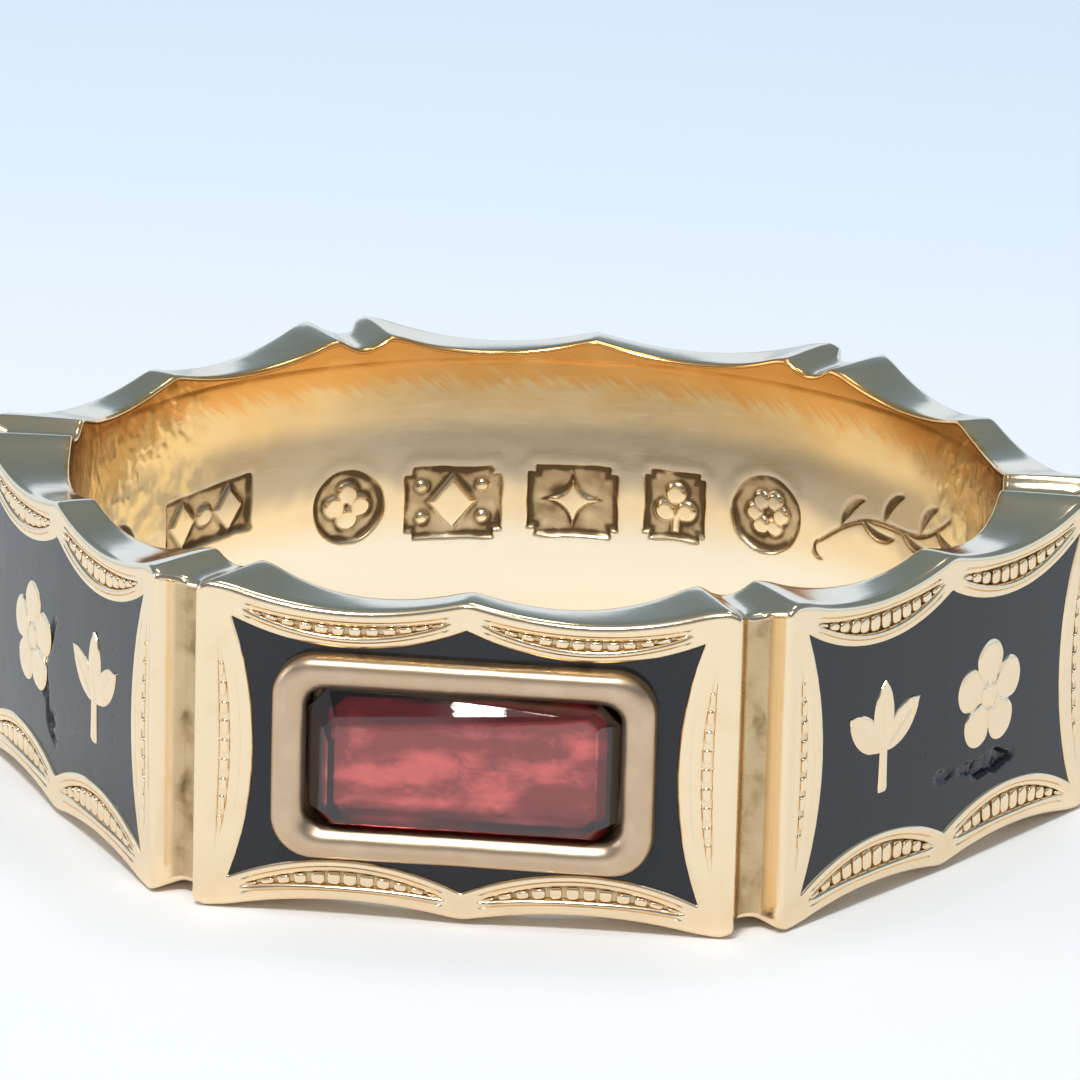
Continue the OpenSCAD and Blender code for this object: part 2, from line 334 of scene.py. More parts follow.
def lunette_across(border, width, channel, lens):
    """Distances from the field's edge and depths below the face, across a lunette.

    The lip, the channel and the outer edge share its width, and the depths follow lens, which is 0
    where it has no channel.
    """
    spare = (width - border.lip - border.outer_edge - channel) / 2
    lip, edge = border.lip + spare, border.outer_edge + spare

    def spread(values):
        """Values as a column, to be taken with each width."""
        return np.asarray(values)[:, None]

    distance = np.concatenate([
        spread(LIP_STATIONS) * lip,
        lip + spread(CHANNEL_STATIONS) * channel,
        lip + channel + spread(EDGE_STATIONS) * edge,
    ])
    depth = np.concatenate([
        spread(LIP_FIELD_SIDE) * border.lip_round + spread(LIP_CHANNEL_SIDE) * border.lip_round * lens,
        spread(CHANNEL_FLOOR) * border.channel_depth * lens,
        spread(EDGE_CHANNEL_SIDE) * border.lip_round * lens,
    ])
    return distance, depth


def lens_shape(share_along, start, end):
    """How far a channel is open at a share of its lunette's length.

    It is the root of a half sine between start and end.
    """
    t = np.clip((share_along - start) / (end - start), 0, 1)
    return np.sqrt(np.sin(math.pi * t))


# Where a channel starts and ends as shares of its lunette's length, its greatest width above and
# below the field and beside it, its width where closed, and a side channel's length and share of depth
CHANNEL_START, CHANNEL_END = 0.07, 0.95
CHANNEL_WIDTH, SIDE_CHANNEL_WIDTH, CLOSED_WIDTH = 0.42 * MM, 0.2 * MM, 0.02 * MM
SIDE_CHANNEL_LENGTH, SIDE_CHANNEL_SHARE = 3.5 * MM, 0.5

# Grid lines across and up a field, and the share of it that the pocket's wall leans over
MIDDLE_COLUMNS, MIDDLE_ROWS = 92, 14
WALL_SHARE = 0.0016

# Rounding of a panel's ends, and its steps
END_ROUND, END_TURNS = 0.07 * MM, np.radians([22, 45, 68, 90])

# Rounding of a groove's foot, where its middle lies as shares of it, and the points along half a floor
GROOVE_FILLET, FILLET_OUT, FILLET_UP = 0.08 * MM, 0.3, 0.2
GROOVE_STATIONS = 4

# How much deeper the pocket lies under the bezel
UNDER_BEZEL = 0.22 * MM


def upper_channel(panel, u, height):
    """Width and openness of an upper or lower lunette's channel at u.

    The width is what the height leaves, up to the greatest, times the lens shape.
    """
    border = panel.ring.border
    open_share = lens_shape(np.abs(u) / panel.half_width, CHANNEL_START, CHANNEL_END)
    room = np.minimum(height - border.lip - border.outer_edge, CHANNEL_WIDTH)
    return np.maximum(room * open_share, CLOSED_WIDTH), smooth_step(open_share, 0.0, 0.5)


def side_channel(z):
    """Width and openness of a side lunette's channel at height z."""
    open_share = lens_shape(z / SIDE_CHANNEL_LENGTH + 0.5, 0.0, 1.0)
    openness = SIDE_CHANNEL_SHARE * smooth_step(open_share, 0.0, 0.5)
    return np.maximum(SIDE_CHANNEL_WIDTH * open_share, CLOSED_WIDTH), openness


def field_stations(count):
    """Shares from 0 to 1 with a near double at each end, for the pocket's wall."""
    return np.concatenate([[0], np.linspace(WALL_SHARE, 1 - WALL_SHARE, count - 1), [1]])


def coons(panel, s, t, grow=0.0):
    """The field's points at shares s across and t up: the Coons patch between its four edges.

    It is the blend of the lower and upper edge plus that of the left and right edge, less that of
    the four corners.
    """
    s, t = s[None, :], t[:, None]
    u_edge = panel.half_width * (2 * s - 1)
    z_edge = panel.corner_z * (2 * t - 1)
    top = panel.field_top(u_edge) + grow
    side = panel.field_side(z_edge) + grow
    u = u_edge + (2 * s - 1) * side - (2 * s - 1) * panel.half_width
    z = (2 * t - 1) * top + z_edge - (2 * t - 1) * panel.corner_z
    return u, z


def groove_plan(panel):
    """Plan points (u, n) from a panel's face round its end into the groove.

    They are a quarter circle, the straight end, a fillet and an arc round the axis.
    """
    band = panel.ring.band
    end_u = band.panel_width / 2
    edge, fillet = END_ROUND, GROOVE_FILLET
    face_end = float(panel.face(end_u))
    out, up = np.sin(END_TURNS), np.cos(END_TURNS)
    rounded = np.stack([end_u - edge + edge * out, face_end - edge + edge * up], axis=-1)
    floor_n = face_end - band.groove_depth
    floor_radius = np.hypot(end_u, floor_n)
    wall = np.array([[end_u, face_end - 0.5 * band.groove_depth], [end_u, floor_n + fillet]])
    foot = np.array([[end_u + FILLET_OUT * fillet, floor_n + FILLET_UP * fillet]])
    angles = np.linspace(math.atan2(end_u + fillet, floor_n), TURN / 2, GROOVE_STATIONS)
    floor = floor_radius * np.stack([np.sin(angles), np.cos(angles)], axis=-1)
    return np.concatenate([rounded, wall, foot, floor])


# How strongly tarnish shows in the channels, in those round the stone, and in the grooves
SOILED_CHANNELS, CLEANER_CHANNELS, SOILED_GROOVES = 0.85, 0.65, 0.7


def panel_face(panel):
    """The outside of one panel as grids of u, z, n and hollowness, from rim to rim and groove to groove.

    The rows below and above the field cross its lunettes, and the rows beside it are a Coons patch
    between the side lunettes. All of it lies on the bow circle, less the depths.
    """
    band, border = panel.ring.band, panel.ring.border
    plan = groove_plan(panel)
    s, t = field_stations(MIDDLE_COLUMNS), field_stations(MIDDLE_ROWS)
    half = panel.half_width

    # The middle columns stand over the field's upper and lower outline, the side columns beside it
    u_field = half * (2 * s - 1)
    side_u_end = band.panel_width / 2 - END_ROUND
    corner_distance, corner_depth = lunette_across(border, np.array([side_u_end - half]), CLOSED_WIDTH, 0.0)
    corner_distance, corner_depth = corner_distance[1:], corner_depth[1:]
    u_corner = half + corner_distance[:, 0]
    field_u, field_z = coons(panel, s, t)
    z_side = panel.corner_z * (2 * t - 1)
    inner = panel.field_side(z_side)
    channel, openness = side_channel(z_side)
    side_distance, side_depth = lunette_across(border, side_u_end - inner, channel, openness)
    side_distance, side_depth = side_distance[1:], side_depth[1:]

    def block(side):
        """Heights and depths of the rows above (side 1) or below the field, and the grooves' heights."""
        scallop = band.top_scallop if side > 0 else band.bottom_scallop
        u_all = np.concatenate([u_field, u_corner])
        rim = panel.rim(u_all, panel.face(u_all), scallop)
        foot = np.concatenate([panel.field_top(u_field), np.full(len(u_corner), panel.corner_z)])
        height = rim - band.edge_round - foot
        room, lens = upper_channel(panel, u_all, height)
        lens = np.where(np.arange(len(u_all)) < len(u_field), lens, 0.0)
        room = np.where(lens > 0, room, CLOSED_WIDTH)
        distance, depth = lunette_across(border, height, room, lens)
        depth[:, len(u_field):] = np.minimum(depth[:, len(u_field):], corner_depth[:, 0])
        groove_rim = panel.rim(plan[:, 0], plan[:, 1], scallop)
        spread = distance[:, -1:] / distance[-1, -1]
        groove_z = panel.corner_z + spread * (groove_rim - band.edge_round - panel.corner_z)
        return foot + distance, depth, groove_z

    rows = []
    count = len(u_field)
    for side in (-1, 1):
        z, depth, groove_z = block(side)

        def whole(grid, groove):
            """A block's columns with the left corner's and both grooves' added."""
            return np.concatenate([groove[:, ::-1], grid[:, :count - 1:-1], grid, groove], axis=1)[::side]

        columns_u = np.concatenate([-plan[::-1, 0], -u_corner[::-1], u_field, u_corner, plan[:, 0]])
        columns_z = whole(z, groove_z)
        columns_depth = whole(depth, np.zeros_like(groove_z))
        rows.append((np.broadcast_to(columns_u, columns_z.shape), side * columns_z, columns_depth))

    # The rows beside the field: grooves, side lunettes and the pocket's floor
    pocket = np.full((len(t), len(s)), band.pocket_depth)
    if panel.number == 0:
        bezel = panel.ring.bezel
        under = smooth_step(bezel.width / 2 - 0.1 * MM - np.abs(field_u), 0, 0.3 * MM)
        under = under * smooth_step(bezel.height / 2 - 0.05 * MM - np.abs(field_z), 0, 0.2 * MM)
        pocket = pocket + under * UNDER_BEZEL
    pocket[:, [0, -1]] = border.lip_round
    pocket[[0, -1]] = border.lip_round
    groove_u = np.broadcast_to(plan[:, 0], (len(t), len(plan)))
    groove_z = np.broadcast_to(z_side[:, None], groove_u.shape)
    side_u = inner[:, None] + side_distance.T
    side_z = np.broadcast_to(z_side[:, None], side_u.shape)
    middle_u = np.concatenate([-groove_u[:, ::-1], -side_u[:, ::-1], field_u, side_u, groove_u], axis=1)
    middle_z = np.concatenate([groove_z, side_z, field_z, side_z, groove_z], axis=1)
    flat = np.zeros_like(groove_u)
    middle_depth = np.concatenate([flat, side_depth.T[:, ::-1], pocket, side_depth.T, flat], axis=1)

    # The block rows end at the field's edge, which the middle rows repeat
    u, z, depth = (
        np.concatenate([low[:-1], middle, high[1:]])
        for low, middle, high in zip(rows[0], (middle_u, middle_z, middle_depth), rows[1])
    )
    grooves = len(plan)
    n = panel.face(u) - depth
    n[:, :grooves] = plan[::-1, 1]
    n[:, -grooves:] = plan[:, 1]
    soiled = SOILED_CHANNELS if panel.number else CLEANER_CHANNELS
    hollow = soiled * np.clip(depth / border.channel_depth, 0, 1)
    below_face = panel.face(band.panel_width / 2) - plan[:, 1]
    in_groove = SOILED_GROOVES * smooth_step(below_face, 0.1 * MM, band.groove_depth)
    hollow[:, :grooves] = in_groove[::-1]
    hollow[:, -grooves:] = in_groove
    return u[:, :-1], z[:, :-1], n[:, :-1], hollow[:, :-1]


# Where the strip with the punched marks lies in the bore, in radians from +Y and in metres, and the
# room behind it
STRIP_FROM, STRIP_TO = math.radians(-76), math.radians(66)
STRIP_LOW, STRIP_HIGH = -1.9 * MM, 1.8 * MM
STRIP_ROOM = 0.12 * MM

# Heights of the bore's own rows, how far a rim's top is crowned, how far below its inner rounding the
# bore starts, and the roundings' steps
BORE_ROWS = np.array([2.2, 1.72, 1.6, 0.8, 0.0, -0.8, -1.7, -1.82, -2.2]) * MM
RIM_CROWN, BORE_EDGE = 0.008 * MM, 0.03 * MM
QUARTER = np.radians([18, 36, 54, 72, 90])


def rim_and_bore(panel, u, n, top_z, bottom_z):
    """Rows over the upper rim, down the bore and under the lower rim, from outer plan points (u, n).

    Each column runs straight towards the axis. Quarter circles round the rims' edges, and their
    tops are crowned by a parabola.
    """
    band = panel.ring.band
    outer = np.hypot(u, n)
    inner = np.full_like(outer, band.bore_radius)

    def rim(edge_z):
        """Distances from the axis and heights over one rim, from its outer edge to the bore."""
        rim_z = edge_z + band.edge_round
        flat_start = outer - band.edge_round
        flat_end = inner + band.bore_round
        outward = [flat_start + band.edge_round * math.cos(a) for a in QUARTER]
        height = [edge_z + band.edge_round * math.sin(a) - RIM_CROWN for a in QUARTER]
        for part in (0.2, 0.5, 0.8):
            outward.append(flat_start + part * (flat_end - flat_start))
            height.append(rim_z - RIM_CROWN * (2 * part - 1) ** 2)
        for a in [*QUARTER[::-1], 0.0]:
            outward.append(flat_end - band.bore_round * math.cos(a))
            height.append(rim_z - RIM_CROWN - band.bore_round * (1 - math.sin(a)))
        outward.append(inner)
        height.append(rim_z - RIM_CROWN - band.bore_round - BORE_EDGE)
        return outward, height

    top_out, top_heights = rim(top_z)
    low_out, low_heights = rim(-bottom_z)
    bore_heights = [np.full_like(outer, z) for z in BORE_ROWS]
    reach = np.stack(top_out + [inner] * len(BORE_ROWS) + low_out[::-1])
    z = np.stack(top_heights + bore_heights + [-h for h in low_heights[::-1]])
    ratio = reach / outer
    # Just inside the upper rim the eave marks carry a painted orange reflection
    eave = np.zeros_like(z)
    eave[len(top_heights) - 3:len(top_heights)] = 1
    return u * ratio, z, n * ratio, eave


def band_points(ring):
    """The gold band's points, rows by columns and closed both ways, with their marks.

    The marks are how hollow each point lies, and 1 just inside the upper rim, where a painted orange
    reflection goes.
    """
    panels = []
    for k in range(PANELS):
        panel = Panel(ring, k)
        u, z, n, hollow = panel_face(panel)
        rim_u, rim_z, rim_n, eave = rim_and_bore(panel, u[-1], n[-1], z[-1], z[0])
        outside = np.concatenate([place(k, u, z, n), place(k, rim_u, rim_z, rim_n)])
        hollow = np.concatenate([hollow, np.zeros_like(rim_u)])
        panels.append((outside, hollow, np.concatenate([np.zeros_like(u), eave])))
    points, hollow, eave = (np.concatenate(parts, axis=1) for parts in zip(*panels))

    # Behind the marks' strip the bore lies deeper
    x, y, z = np.moveaxis(points, -1, 0)
    angle = np.arctan2(x, y)
    angle_margin, z_margin = 0.02, 0.1 * MM
    behind = np.hypot(x, y) < ring.band.bore_radius + 0.01 * MM
    behind &= (angle > STRIP_FROM + angle_margin) & (angle < STRIP_TO - angle_margin)
    behind &= (z > STRIP_LOW + z_margin) & (z < STRIP_HIGH - z_margin)
    points[behind, :2] *= 1 + STRIP_ROOM / ring.band.bore_radius
    return points, {"hollow": hollow, "eave": eave}


def quad_grid(rows, columns, wrap_rows=False, wrap_columns=False):
    """Corner numbers of the quads of a grid of points. A wrapped side joins its last line to its first."""
    index = np.arange(rows * columns).reshape(rows, columns)
    if wrap_rows:
        index = np.concatenate([index, index[:1]])
    if wrap_columns:
        index = np.concatenate([index, index[:, :1]], axis=1)
    return np.stack([index[:-1, :-1], index[:-1, 1:], index[1:, 1:], index[1:, :-1]], axis=-1).reshape(-1, 4)


def slab(front, back):
    """A closed solid between two grids of points: both grids and the wall round their edges."""
    rows, columns = front.shape[:2]
    count = rows * columns
    faces = quad_grid(rows, columns)
    index = np.arange(count).reshape(rows, columns)
    ring = np.concatenate([index[0, :-1], index[:-1, -1], index[-1, :0:-1], index[:0:-1, 0]])
    after = np.roll(ring, -1)
    wall = np.stack([ring, ring + count, after + count, after], axis=-1)
    points = np.concatenate([front.reshape(-1, 3), back.reshape(-1, 3)])
    return points, [faces, faces[:, ::-1] + count, wall]


def tube(points):
    """A closed solid of a grid whose rows wrap round it, with a flat cap on its first and last column."""
    rows, columns = points.shape[:2]
    index = np.arange(rows * columns).reshape(rows, columns)
    caps = np.stack([index[:, 0], index[::-1, -1]])
    return points.reshape(-1, 3), [quad_grid(rows, columns, wrap_rows=True), caps]


def backed(front, back):
    """The closed solid of a front grid and of the first and last row of its back."""
    return tube(np.concatenate([back[:1], front, back[-1:]]))


def rings_solid(rings):
    """A closed solid of rings of points from its foot to its top, with a flat cap on each end."""
    rows, columns = rings.shape[:2]
    faces = quad_grid(rows, columns, wrap_columns=True)
    last = (rows - 1) * columns
    caps = np.stack([np.arange(columns)[::-1], np.arange(columns) + last])
    return rings.reshape(-1, 3), [faces, caps]


def make_piece(name, solids, material, nodes, marks=None, crease=38):
    """One mesh object of closed solids, each its points and lists of faces, in place of the nodes.

    Marks are numbers at the points, by name, and edges that turn by more than the crease's degrees
    stay sharp.
    """
    points, faces, start = [], [], 0
    for part, groups in solids:
        points.append(part)
        for group in groups:
            faces += (group + start).tolist()
        start += len(part)
    mesh = bpy.data.meshes.new(name)
    mesh.from_pydata(np.concatenate(points).tolist(), [], faces)
    mesh.polygons.foreach_set("use_smooth", [True] * len(faces))
    for key, values in (marks or {}).items():
        layer = mesh.attributes.new(key, "FLOAT", "POINT")
        layer.data.foreach_set("value", values.astype(np.float32).ravel())
    mesh.materials.append(material)
    mesh.update()
    mesh.set_sharp_from_angle(angle=math.radians(crease))
    piece = bpy.data.objects.new(name, mesh)
    bpy.context.scene.collection.objects.link(piece)
    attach(piece, "root")
    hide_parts(*nodes)
    return piece


def mirrored(quarter):
    """The whole outline of a quarter that runs from the right side's middle to the top's."""
    upper = np.concatenate([quarter, quarter[-2::-1] * [-1, 1]])
    lower = upper[::-1] * [1, -1]
    return np.concatenate([upper, lower[1:-1]])


def rounded_rectangle(width, height, radius, per_octant):
    """Points round a rectangle with round corners, from its right side's middle.

    Its quarter is a line, a quarter circle and a line, spaced evenly within each octant.
    """
    half = np.array([width / 2, height / 2])
    turns = np.radians(np.linspace(0, 90, 31))
    corner = half - radius + radius * np.stack([np.cos(turns), np.sin(turns)], axis=-1)
    path = np.concatenate([[[half[0], 0]], corner, [[0, half[1]]]])
    steps = np.concatenate([[0], np.cumsum(np.hypot(*np.diff(path, axis=0).T))])
    middle = steps[len(steps) // 2]
    octants = ((0, middle), (middle, steps[-1]))
    at = np.concatenate([np.linspace(low, high, per_octant, endpoint=False) for low, high in octants])
    first = np.stack([np.interp(at, steps, path[:, 0]), np.interp(at, steps, path[:, 1])], axis=-1)
    return mirrored(np.concatenate([first, path[-1:]]))


def field_ring(panel, per_octant, grow):
    """Points round a panel's field, from its right side's middle, with its corners at each second octant."""
    share_up = np.linspace(0, 1, per_octant, endpoint=False)
    z = panel.corner_z * share_up
    side = np.stack([panel.field_side(z) + grow, z], axis=-1)
    u = panel.half_width * (1 - np.concatenate([share_up, [1]]))
    top = np.stack([u, panel.field_top(u) + grow], axis=-1)
    return mirrored(np.concatenate([side, top]))


# The bezel from the foot of its outer wall, over its rim and down into the seat: the share of the
# way inwards, the drop below the rim in millimetres, and its painted shade, strongest on the outer wall and
# its rounding and along the inner edge into the seat
BEZEL_PROFILE = np.array([
    [0.0, 0.9, 1.0], [0.0, 0.34, 1.0], [0.0, 0.24, 0.9], [0.01, 0.18, 0.75], [0.04, 0.13, 0.6],
    [0.09, 0.088, 0.45], [0.16, 0.052, 0.3], [0.25, 0.025, 0.1], [0.36, 0.006, 0.0], [0.47, 0.0, 0.0],
    [0.58, 0.01, 0.0], [0.7, 0.038, 0.0], [0.81, 0.085, 0.0], [0.89, 0.13, 0.0], [0.95, 0.175, 0.05],
    [0.985, 0.22, 0.1], [1.0, 0.27, 0.2], [1.0, 0.36, 0.3], [1.0, 0.9, 1.0],
])
# How strongly the bezel's painted shade shows; it goes in as the hollow marks, which tint like tarnish
BEZEL_SHADE = 0.8

# How deep wear has waved the bezel, and how far it lies below the solid's rim
BEZEL_WAVE, BEZEL_SINK = 0.008 * MM, 0.01 * MM

# Points to an octant of the bezel's outline and of a field's
BEZEL_OCTANT, FIELD_OCTANT = 20, 48


def bezel_points(ring):
    """The bezel: its profile carried round rectangles that go evenly from its outside to the seat.

    Its worn part is waved by two fields of seeded sines.
    """
    bezel = ring.bezel
    outer = rounded_rectangle(bezel.width, bezel.height, bezel.corner, BEZEL_OCTANT)
    inner = rounded_rectangle(bezel.seat_width, bezel.seat_height, bezel.seat_corner, BEZEL_OCTANT)
    inwards, drop = BEZEL_PROFILE[:, 0, None, None], BEZEL_PROFILE[:, 1, None] * MM
    plan = outer * (1 - inwards) + inner * inwards
    wave = ripple(plan[..., 0] / MM * 1.8, plan[..., 1] / MM * 1.8, 5)
    wave = wave + 0.5 * ripple(plan[..., 0] / MM * 5, plan[..., 1] / MM * 5, 6)
    worn = smooth_step(0.6 * MM - drop, 0, 0.5 * MM) * BEZEL_WAVE * wave
    n = bezel.rim - drop - BEZEL_SINK + worn
    return place(0, plan[..., 0], plan[..., 1], n)


# Painted highlights on the foil, bright patches where it would catch the light: their middle u and z and
# their reach in u and z, in millimetres, and strength
FOIL_HIGHLIGHT_PATCHES = (
    (-1.4, -0.36, 0.85, 0.2, 1.1),
    (-0.6, -0.08, 0.6, 0.26, 1.1),
    (0.6, -0.5, 0.5, 0.34, 1.0),
    (1.4, -0.1, 0.6, 0.22, 0.9),
    (2.0, 0.4, 0.3, 0.25, 0.8),
    (-1.9, 0.3, 0.25, 0.3, 0.7),
    (0.3, 0.5, 0.9, 0.1, 0.5),
    (-0.9, -0.8, 1.2, 0.14, 0.8),
    (0.1, 0.15, 0.3, 0.18, 0.5),
)


# The stone's back: half its width, and how far it reaches above and below its middle
CULET_SIDE, CULET_TOP, CULET_LOW = 2.3 * MM, 0.9 * MM, 1.1 * MM

# Sizes of the cut corners of the back, the girdle, the step and the table
CULET_CORNER, GIRDLE_CORNER, STEP_CORNER, TABLE_CORNER = 0.2 * MM, 0.36 * MM, 0.2 * MM, 0.16 * MM

# How far the step lies inside the girdle at its sides, top left, top right and foot
STEP_SIDE, STEP_LEFT, STEP_RIGHT, STEP_FOOT = 0.3 * MM, 0.45 * MM, 0.15 * MM, 0.07 * MM

# How deep the foil is waved and crinkled, and how far it lies before the solid's back
FOIL_WAVE, FOIL_CRINKLE, FOIL_LIFT = 0.01 * MM, 0.003 * MM, 0.015 * MM


def cut_rectangle(right, top_right, top_left, left, bottom, corner):
    """Points round a rectangle with cut corners and a sloping top, twelve to each of eight sides."""
    corners = np.array([
        (right, corner - bottom), (right, top_right - corner), (right - corner, top_right),
        (corner - left, top_left), (-left, top_left - corner), (-left, corner - bottom),
        (corner - left, -bottom), (right - corner, -bottom),
    ])
    part = (np.arange(12) / 12)[:, None]
    return (corners[:, None] * (1 - part) + np.roll(corners, -1, axis=0)[:, None] * part).reshape(-1, 2)


def stone_points(ring):
    """The stone's rings from its back's middle to its table, its foil's glow of painted highlights, and how
    many are foiled.

    The stone is cut by hand in two steps, and its table's top edge slopes. The foil on its back is
    crinkled by two fields of seeded sines, and its glow is painted highlights: a sum of bells over the
    patches, broken up by two more.
    """
    bezel = ring.bezel
    table_n, culet_n = -STONE_BOX[0].y, -STONE_BOX[1].y
    girdle_n = table_n - bezel.crown
    half_w, half_h = (STONE_BOX[1].x - STONE_BOX[0].x) / 2, (STONE_BOX[1].z - STONE_BOX[0].z) / 2
    side = bezel.table_width / 2
    culet = cut_rectangle(CULET_SIDE, CULET_TOP, CULET_TOP, CULET_SIDE, CULET_LOW, CULET_CORNER)
    girdle = cut_rectangle(half_w, half_h, half_h, half_w, half_h, GIRDLE_CORNER)
    step_side = half_w - STEP_SIDE
    step_left, step_right, step_low = half_h - STEP_LEFT, half_h - STEP_RIGHT, half_h - STEP_FOOT
    step = cut_rectangle(step_side, step_right, step_left, step_side, step_low, STEP_CORNER)
    table = cut_rectangle(side, bezel.table_right, bezel.table_left, side, bezel.table_low, TABLE_CORNER)
    outward = np.linspace(0.02, 1, 30)[:, None, None]
    plan = np.concatenate([culet * outward, girdle[None], girdle[None], step[None], table[None]])
    u, z = plan[..., 0], plan[..., 1]
    foiled = len(outward)
    height = FOIL_WAVE * ripple(u / MM * 2.4, z / MM * 4.2, 21)
    height = height + FOIL_CRINKLE * ripple(u / MM * 7, z / MM * 9, 22)
    n = np.full_like(u, culet_n + FOIL_LIFT)
    n[:foiled] += height[:foiled] * smooth_step(1 - outward[..., 0], 0, 0.1)
    n[foiled:] = np.array([girdle_n - bezel.girdle, girdle_n, table_n - bezel.step, table_n])[:, None]
    glow = 0.14 * ripple(u / MM * 3, z / MM * 6, 23) + 0.12 * ripple(u / MM * 8, z / MM * 13, 24)
    for at_u, at_z, reach_u, reach_z, strength in FOIL_HIGHLIGHT_PATCHES:
        away = ((u / MM - at_u) / reach_u) ** 2 + ((z / MM - at_z) / reach_z) ** 2
        glow = glow + strength * np.exp(-away)
    glow[foiled:] = 0
    return place(0, u, z, n), glow, foiled


# Chips in the enamel: panel, middle u and z, reach in u and z, and depth, in millimetres
ENAMEL_DAMAGE = (
    (1, 1.5, -1.3, 0.6, 0.26, 0.13),
    (1, 0.75, -1.25, 0.42, 0.12, 0.07),
    (1, 0.0, -1.22, 0.34, 0.11, 0.05),
    (5, -0.65, -0.75, 0.16, 0.24, 0.06),
    (5, -0.25, -1.25, 0.22, 0.2, 0.06),
    (2, -2.9, 1.2, 0.12, 0.1, 0.04),
    (4, 3.1, -0.9, 0.14, 0.1, 0.04),
)

# How ragged a chip's outline is and how rough its floor, as shares of its reach and depth
CHIP_RAGGED, CHIP_ROUGH = 0.22, 0.12

# The arc-shaped crack: its panel, its middle, radius, half width and depth in millimetres, and the
# angle from +u at which it starts each way, in radians
CRACKED_PANEL = 5
CRACK_U, CRACK_Z, CRACK_RADIUS = 0.95, -0.55, 1.55
CRACK_HALF, CRACK_DEPTH, CRACK_START = 0.1, 0.07, 2.2

# How deep the firing has waved the enamel, broadly and finely
FIRED_WAVE, FIRED_RIPPLE = 0.004 * MM, 0.0012 * MM


def enamel_top(panel, u, z):
    """The enamel's surface: a little below the face, waved by its firing, chipped and cracked.

    The waves are seeded sines, a chip is a smooth step of the distance from its ragged ellipse, and
    the crack a smooth step of the distance from an uneven arc.
    """
    wave = ripple(u / MM * 1.1, z / MM * 1.4, 30 + panel.number)
    fine = ripple(u / MM * 4, z / MM * 4, 50 + panel.number)
    n = panel.face(u) - ENAMEL_SINK + FIRED_WAVE * wave + FIRED_RIPPLE * fine
    for at_panel, at_u, at_z, reach_u, reach_z, depth in ENAMEL_DAMAGE:
        if at_panel != panel.number:
            continue
        du, dz = (u - at_u * MM) / (reach_u * MM), (z - at_z * MM) / (reach_z * MM)
        edge = CHIP_RAGGED * ripple(u / MM * 9, z / MM * 9, 70 + int(at_u * 10) % 7)
        rough = 1 + CHIP_ROUGH * ripple(u / MM * 9, z / MM * 9, 90)
        away = np.hypot(du, dz) + edge
        n = n - depth * MM * smooth_step(1 - away, 0, 0.3) * rough
    if panel.number == CRACKED_PANEL:
        du, dz = u / MM - CRACK_U, z / MM - CRACK_Z
        turn = np.arctan2(dz, du)
        off_crack = np.abs(np.hypot(du, dz) - CRACK_RADIUS - 0.05 * np.sin(9 * turn))
        along = smooth_step(np.abs(turn), CRACK_START, CRACK_START + 0.3)
        n = n - CRACK_DEPTH * MM * along * smooth_step(CRACK_HALF - off_crack, 0, 0.07)
    return n


def enamel_slab(panel):
    """One field of enamel: the Coons patch grown a little under the lips, from its foot to its top."""
    s, t = np.linspace(0, 1, 171), np.linspace(0, 1, 95)
    u, z = coons(panel, s, t, grow=ENAMEL_GROWTH)
    floor = panel.face(u) - panel.ring.band.pocket_depth + ENAMEL_FOOT
    return backed(place(panel.number, u, z, enamel_top(panel, u, z)), place(panel.number, u, z, floor))


def stone_enamel(ring):
    """The enamel round the stone: even rings from the field's outline to under the bezel, closed."""
    panel = Panel(ring, 0)
    outer = field_ring(panel, FIELD_OCTANT, ENAMEL_GROWTH)
    under = 0.2 * MM
    inner = rounded_rectangle(
        ring.bezel.width - under, ring.bezel.height - under, ring.bezel.corner, FIELD_OCTANT
    )
    inwards = np.linspace(0, 1, 14)[:, None, None]
    plan = outer * (1 - inwards) + inner * inwards
    u, z = plan[..., 0], plan[..., 1]
    top = place(0, u, z, enamel_top(panel, u, z))
    floor = place(0, u, z, panel.face(u) - ring.band.pocket_depth + ENAMEL_FOOT)[::-1]
    points = np.concatenate([top, floor])
    return points.reshape(-1, 3), [quad_grid(*points.shape[:2], wrap_rows=True, wrap_columns=True)]


PETALS = 5
FLOWER_STATIONS = np.array([0.02, 0.1, 0.18, 0.235, 0.27, 0.31, 0.38, 0.5, 0.64, 0.78, 0.88, 0.95, 1.0])

# How far below the face the crown of a flower, a leaf and a stem starts
FLOWER_SINK, LEAF_SINK, STEM_SINK = 0.018 * MM, 0.024 * MM, 0.012 * MM

# A petal's dome, the crease beside it, its vein and the drop at its edge, and the boss and its moat
PETAL_DOME, PETAL_CREASE, PETAL_VEIN, PETAL_EDGE = 0.014 * MM, 0.032 * MM, 0.012 * MM, 0.03 * MM
BOSS_RISE, BOSS_MOAT = 0.02 * MM, 0.03 * MM

# A leaf's crown, the drop at its edge, its midrib and its veins
LEAF_CROWN, LEAF_EDGE, LEAF_RIB, LEAF_VEIN = 0.022 * MM, 0.03 * MM, 0.018 * MM, 0.009 * MM

# A stem's crown, and the drops at its edges and at its ends
STEM_CROWN, STEM_EDGE, STEM_END = 0.01 * MM, 0.04 * MM, 0.03 * MM


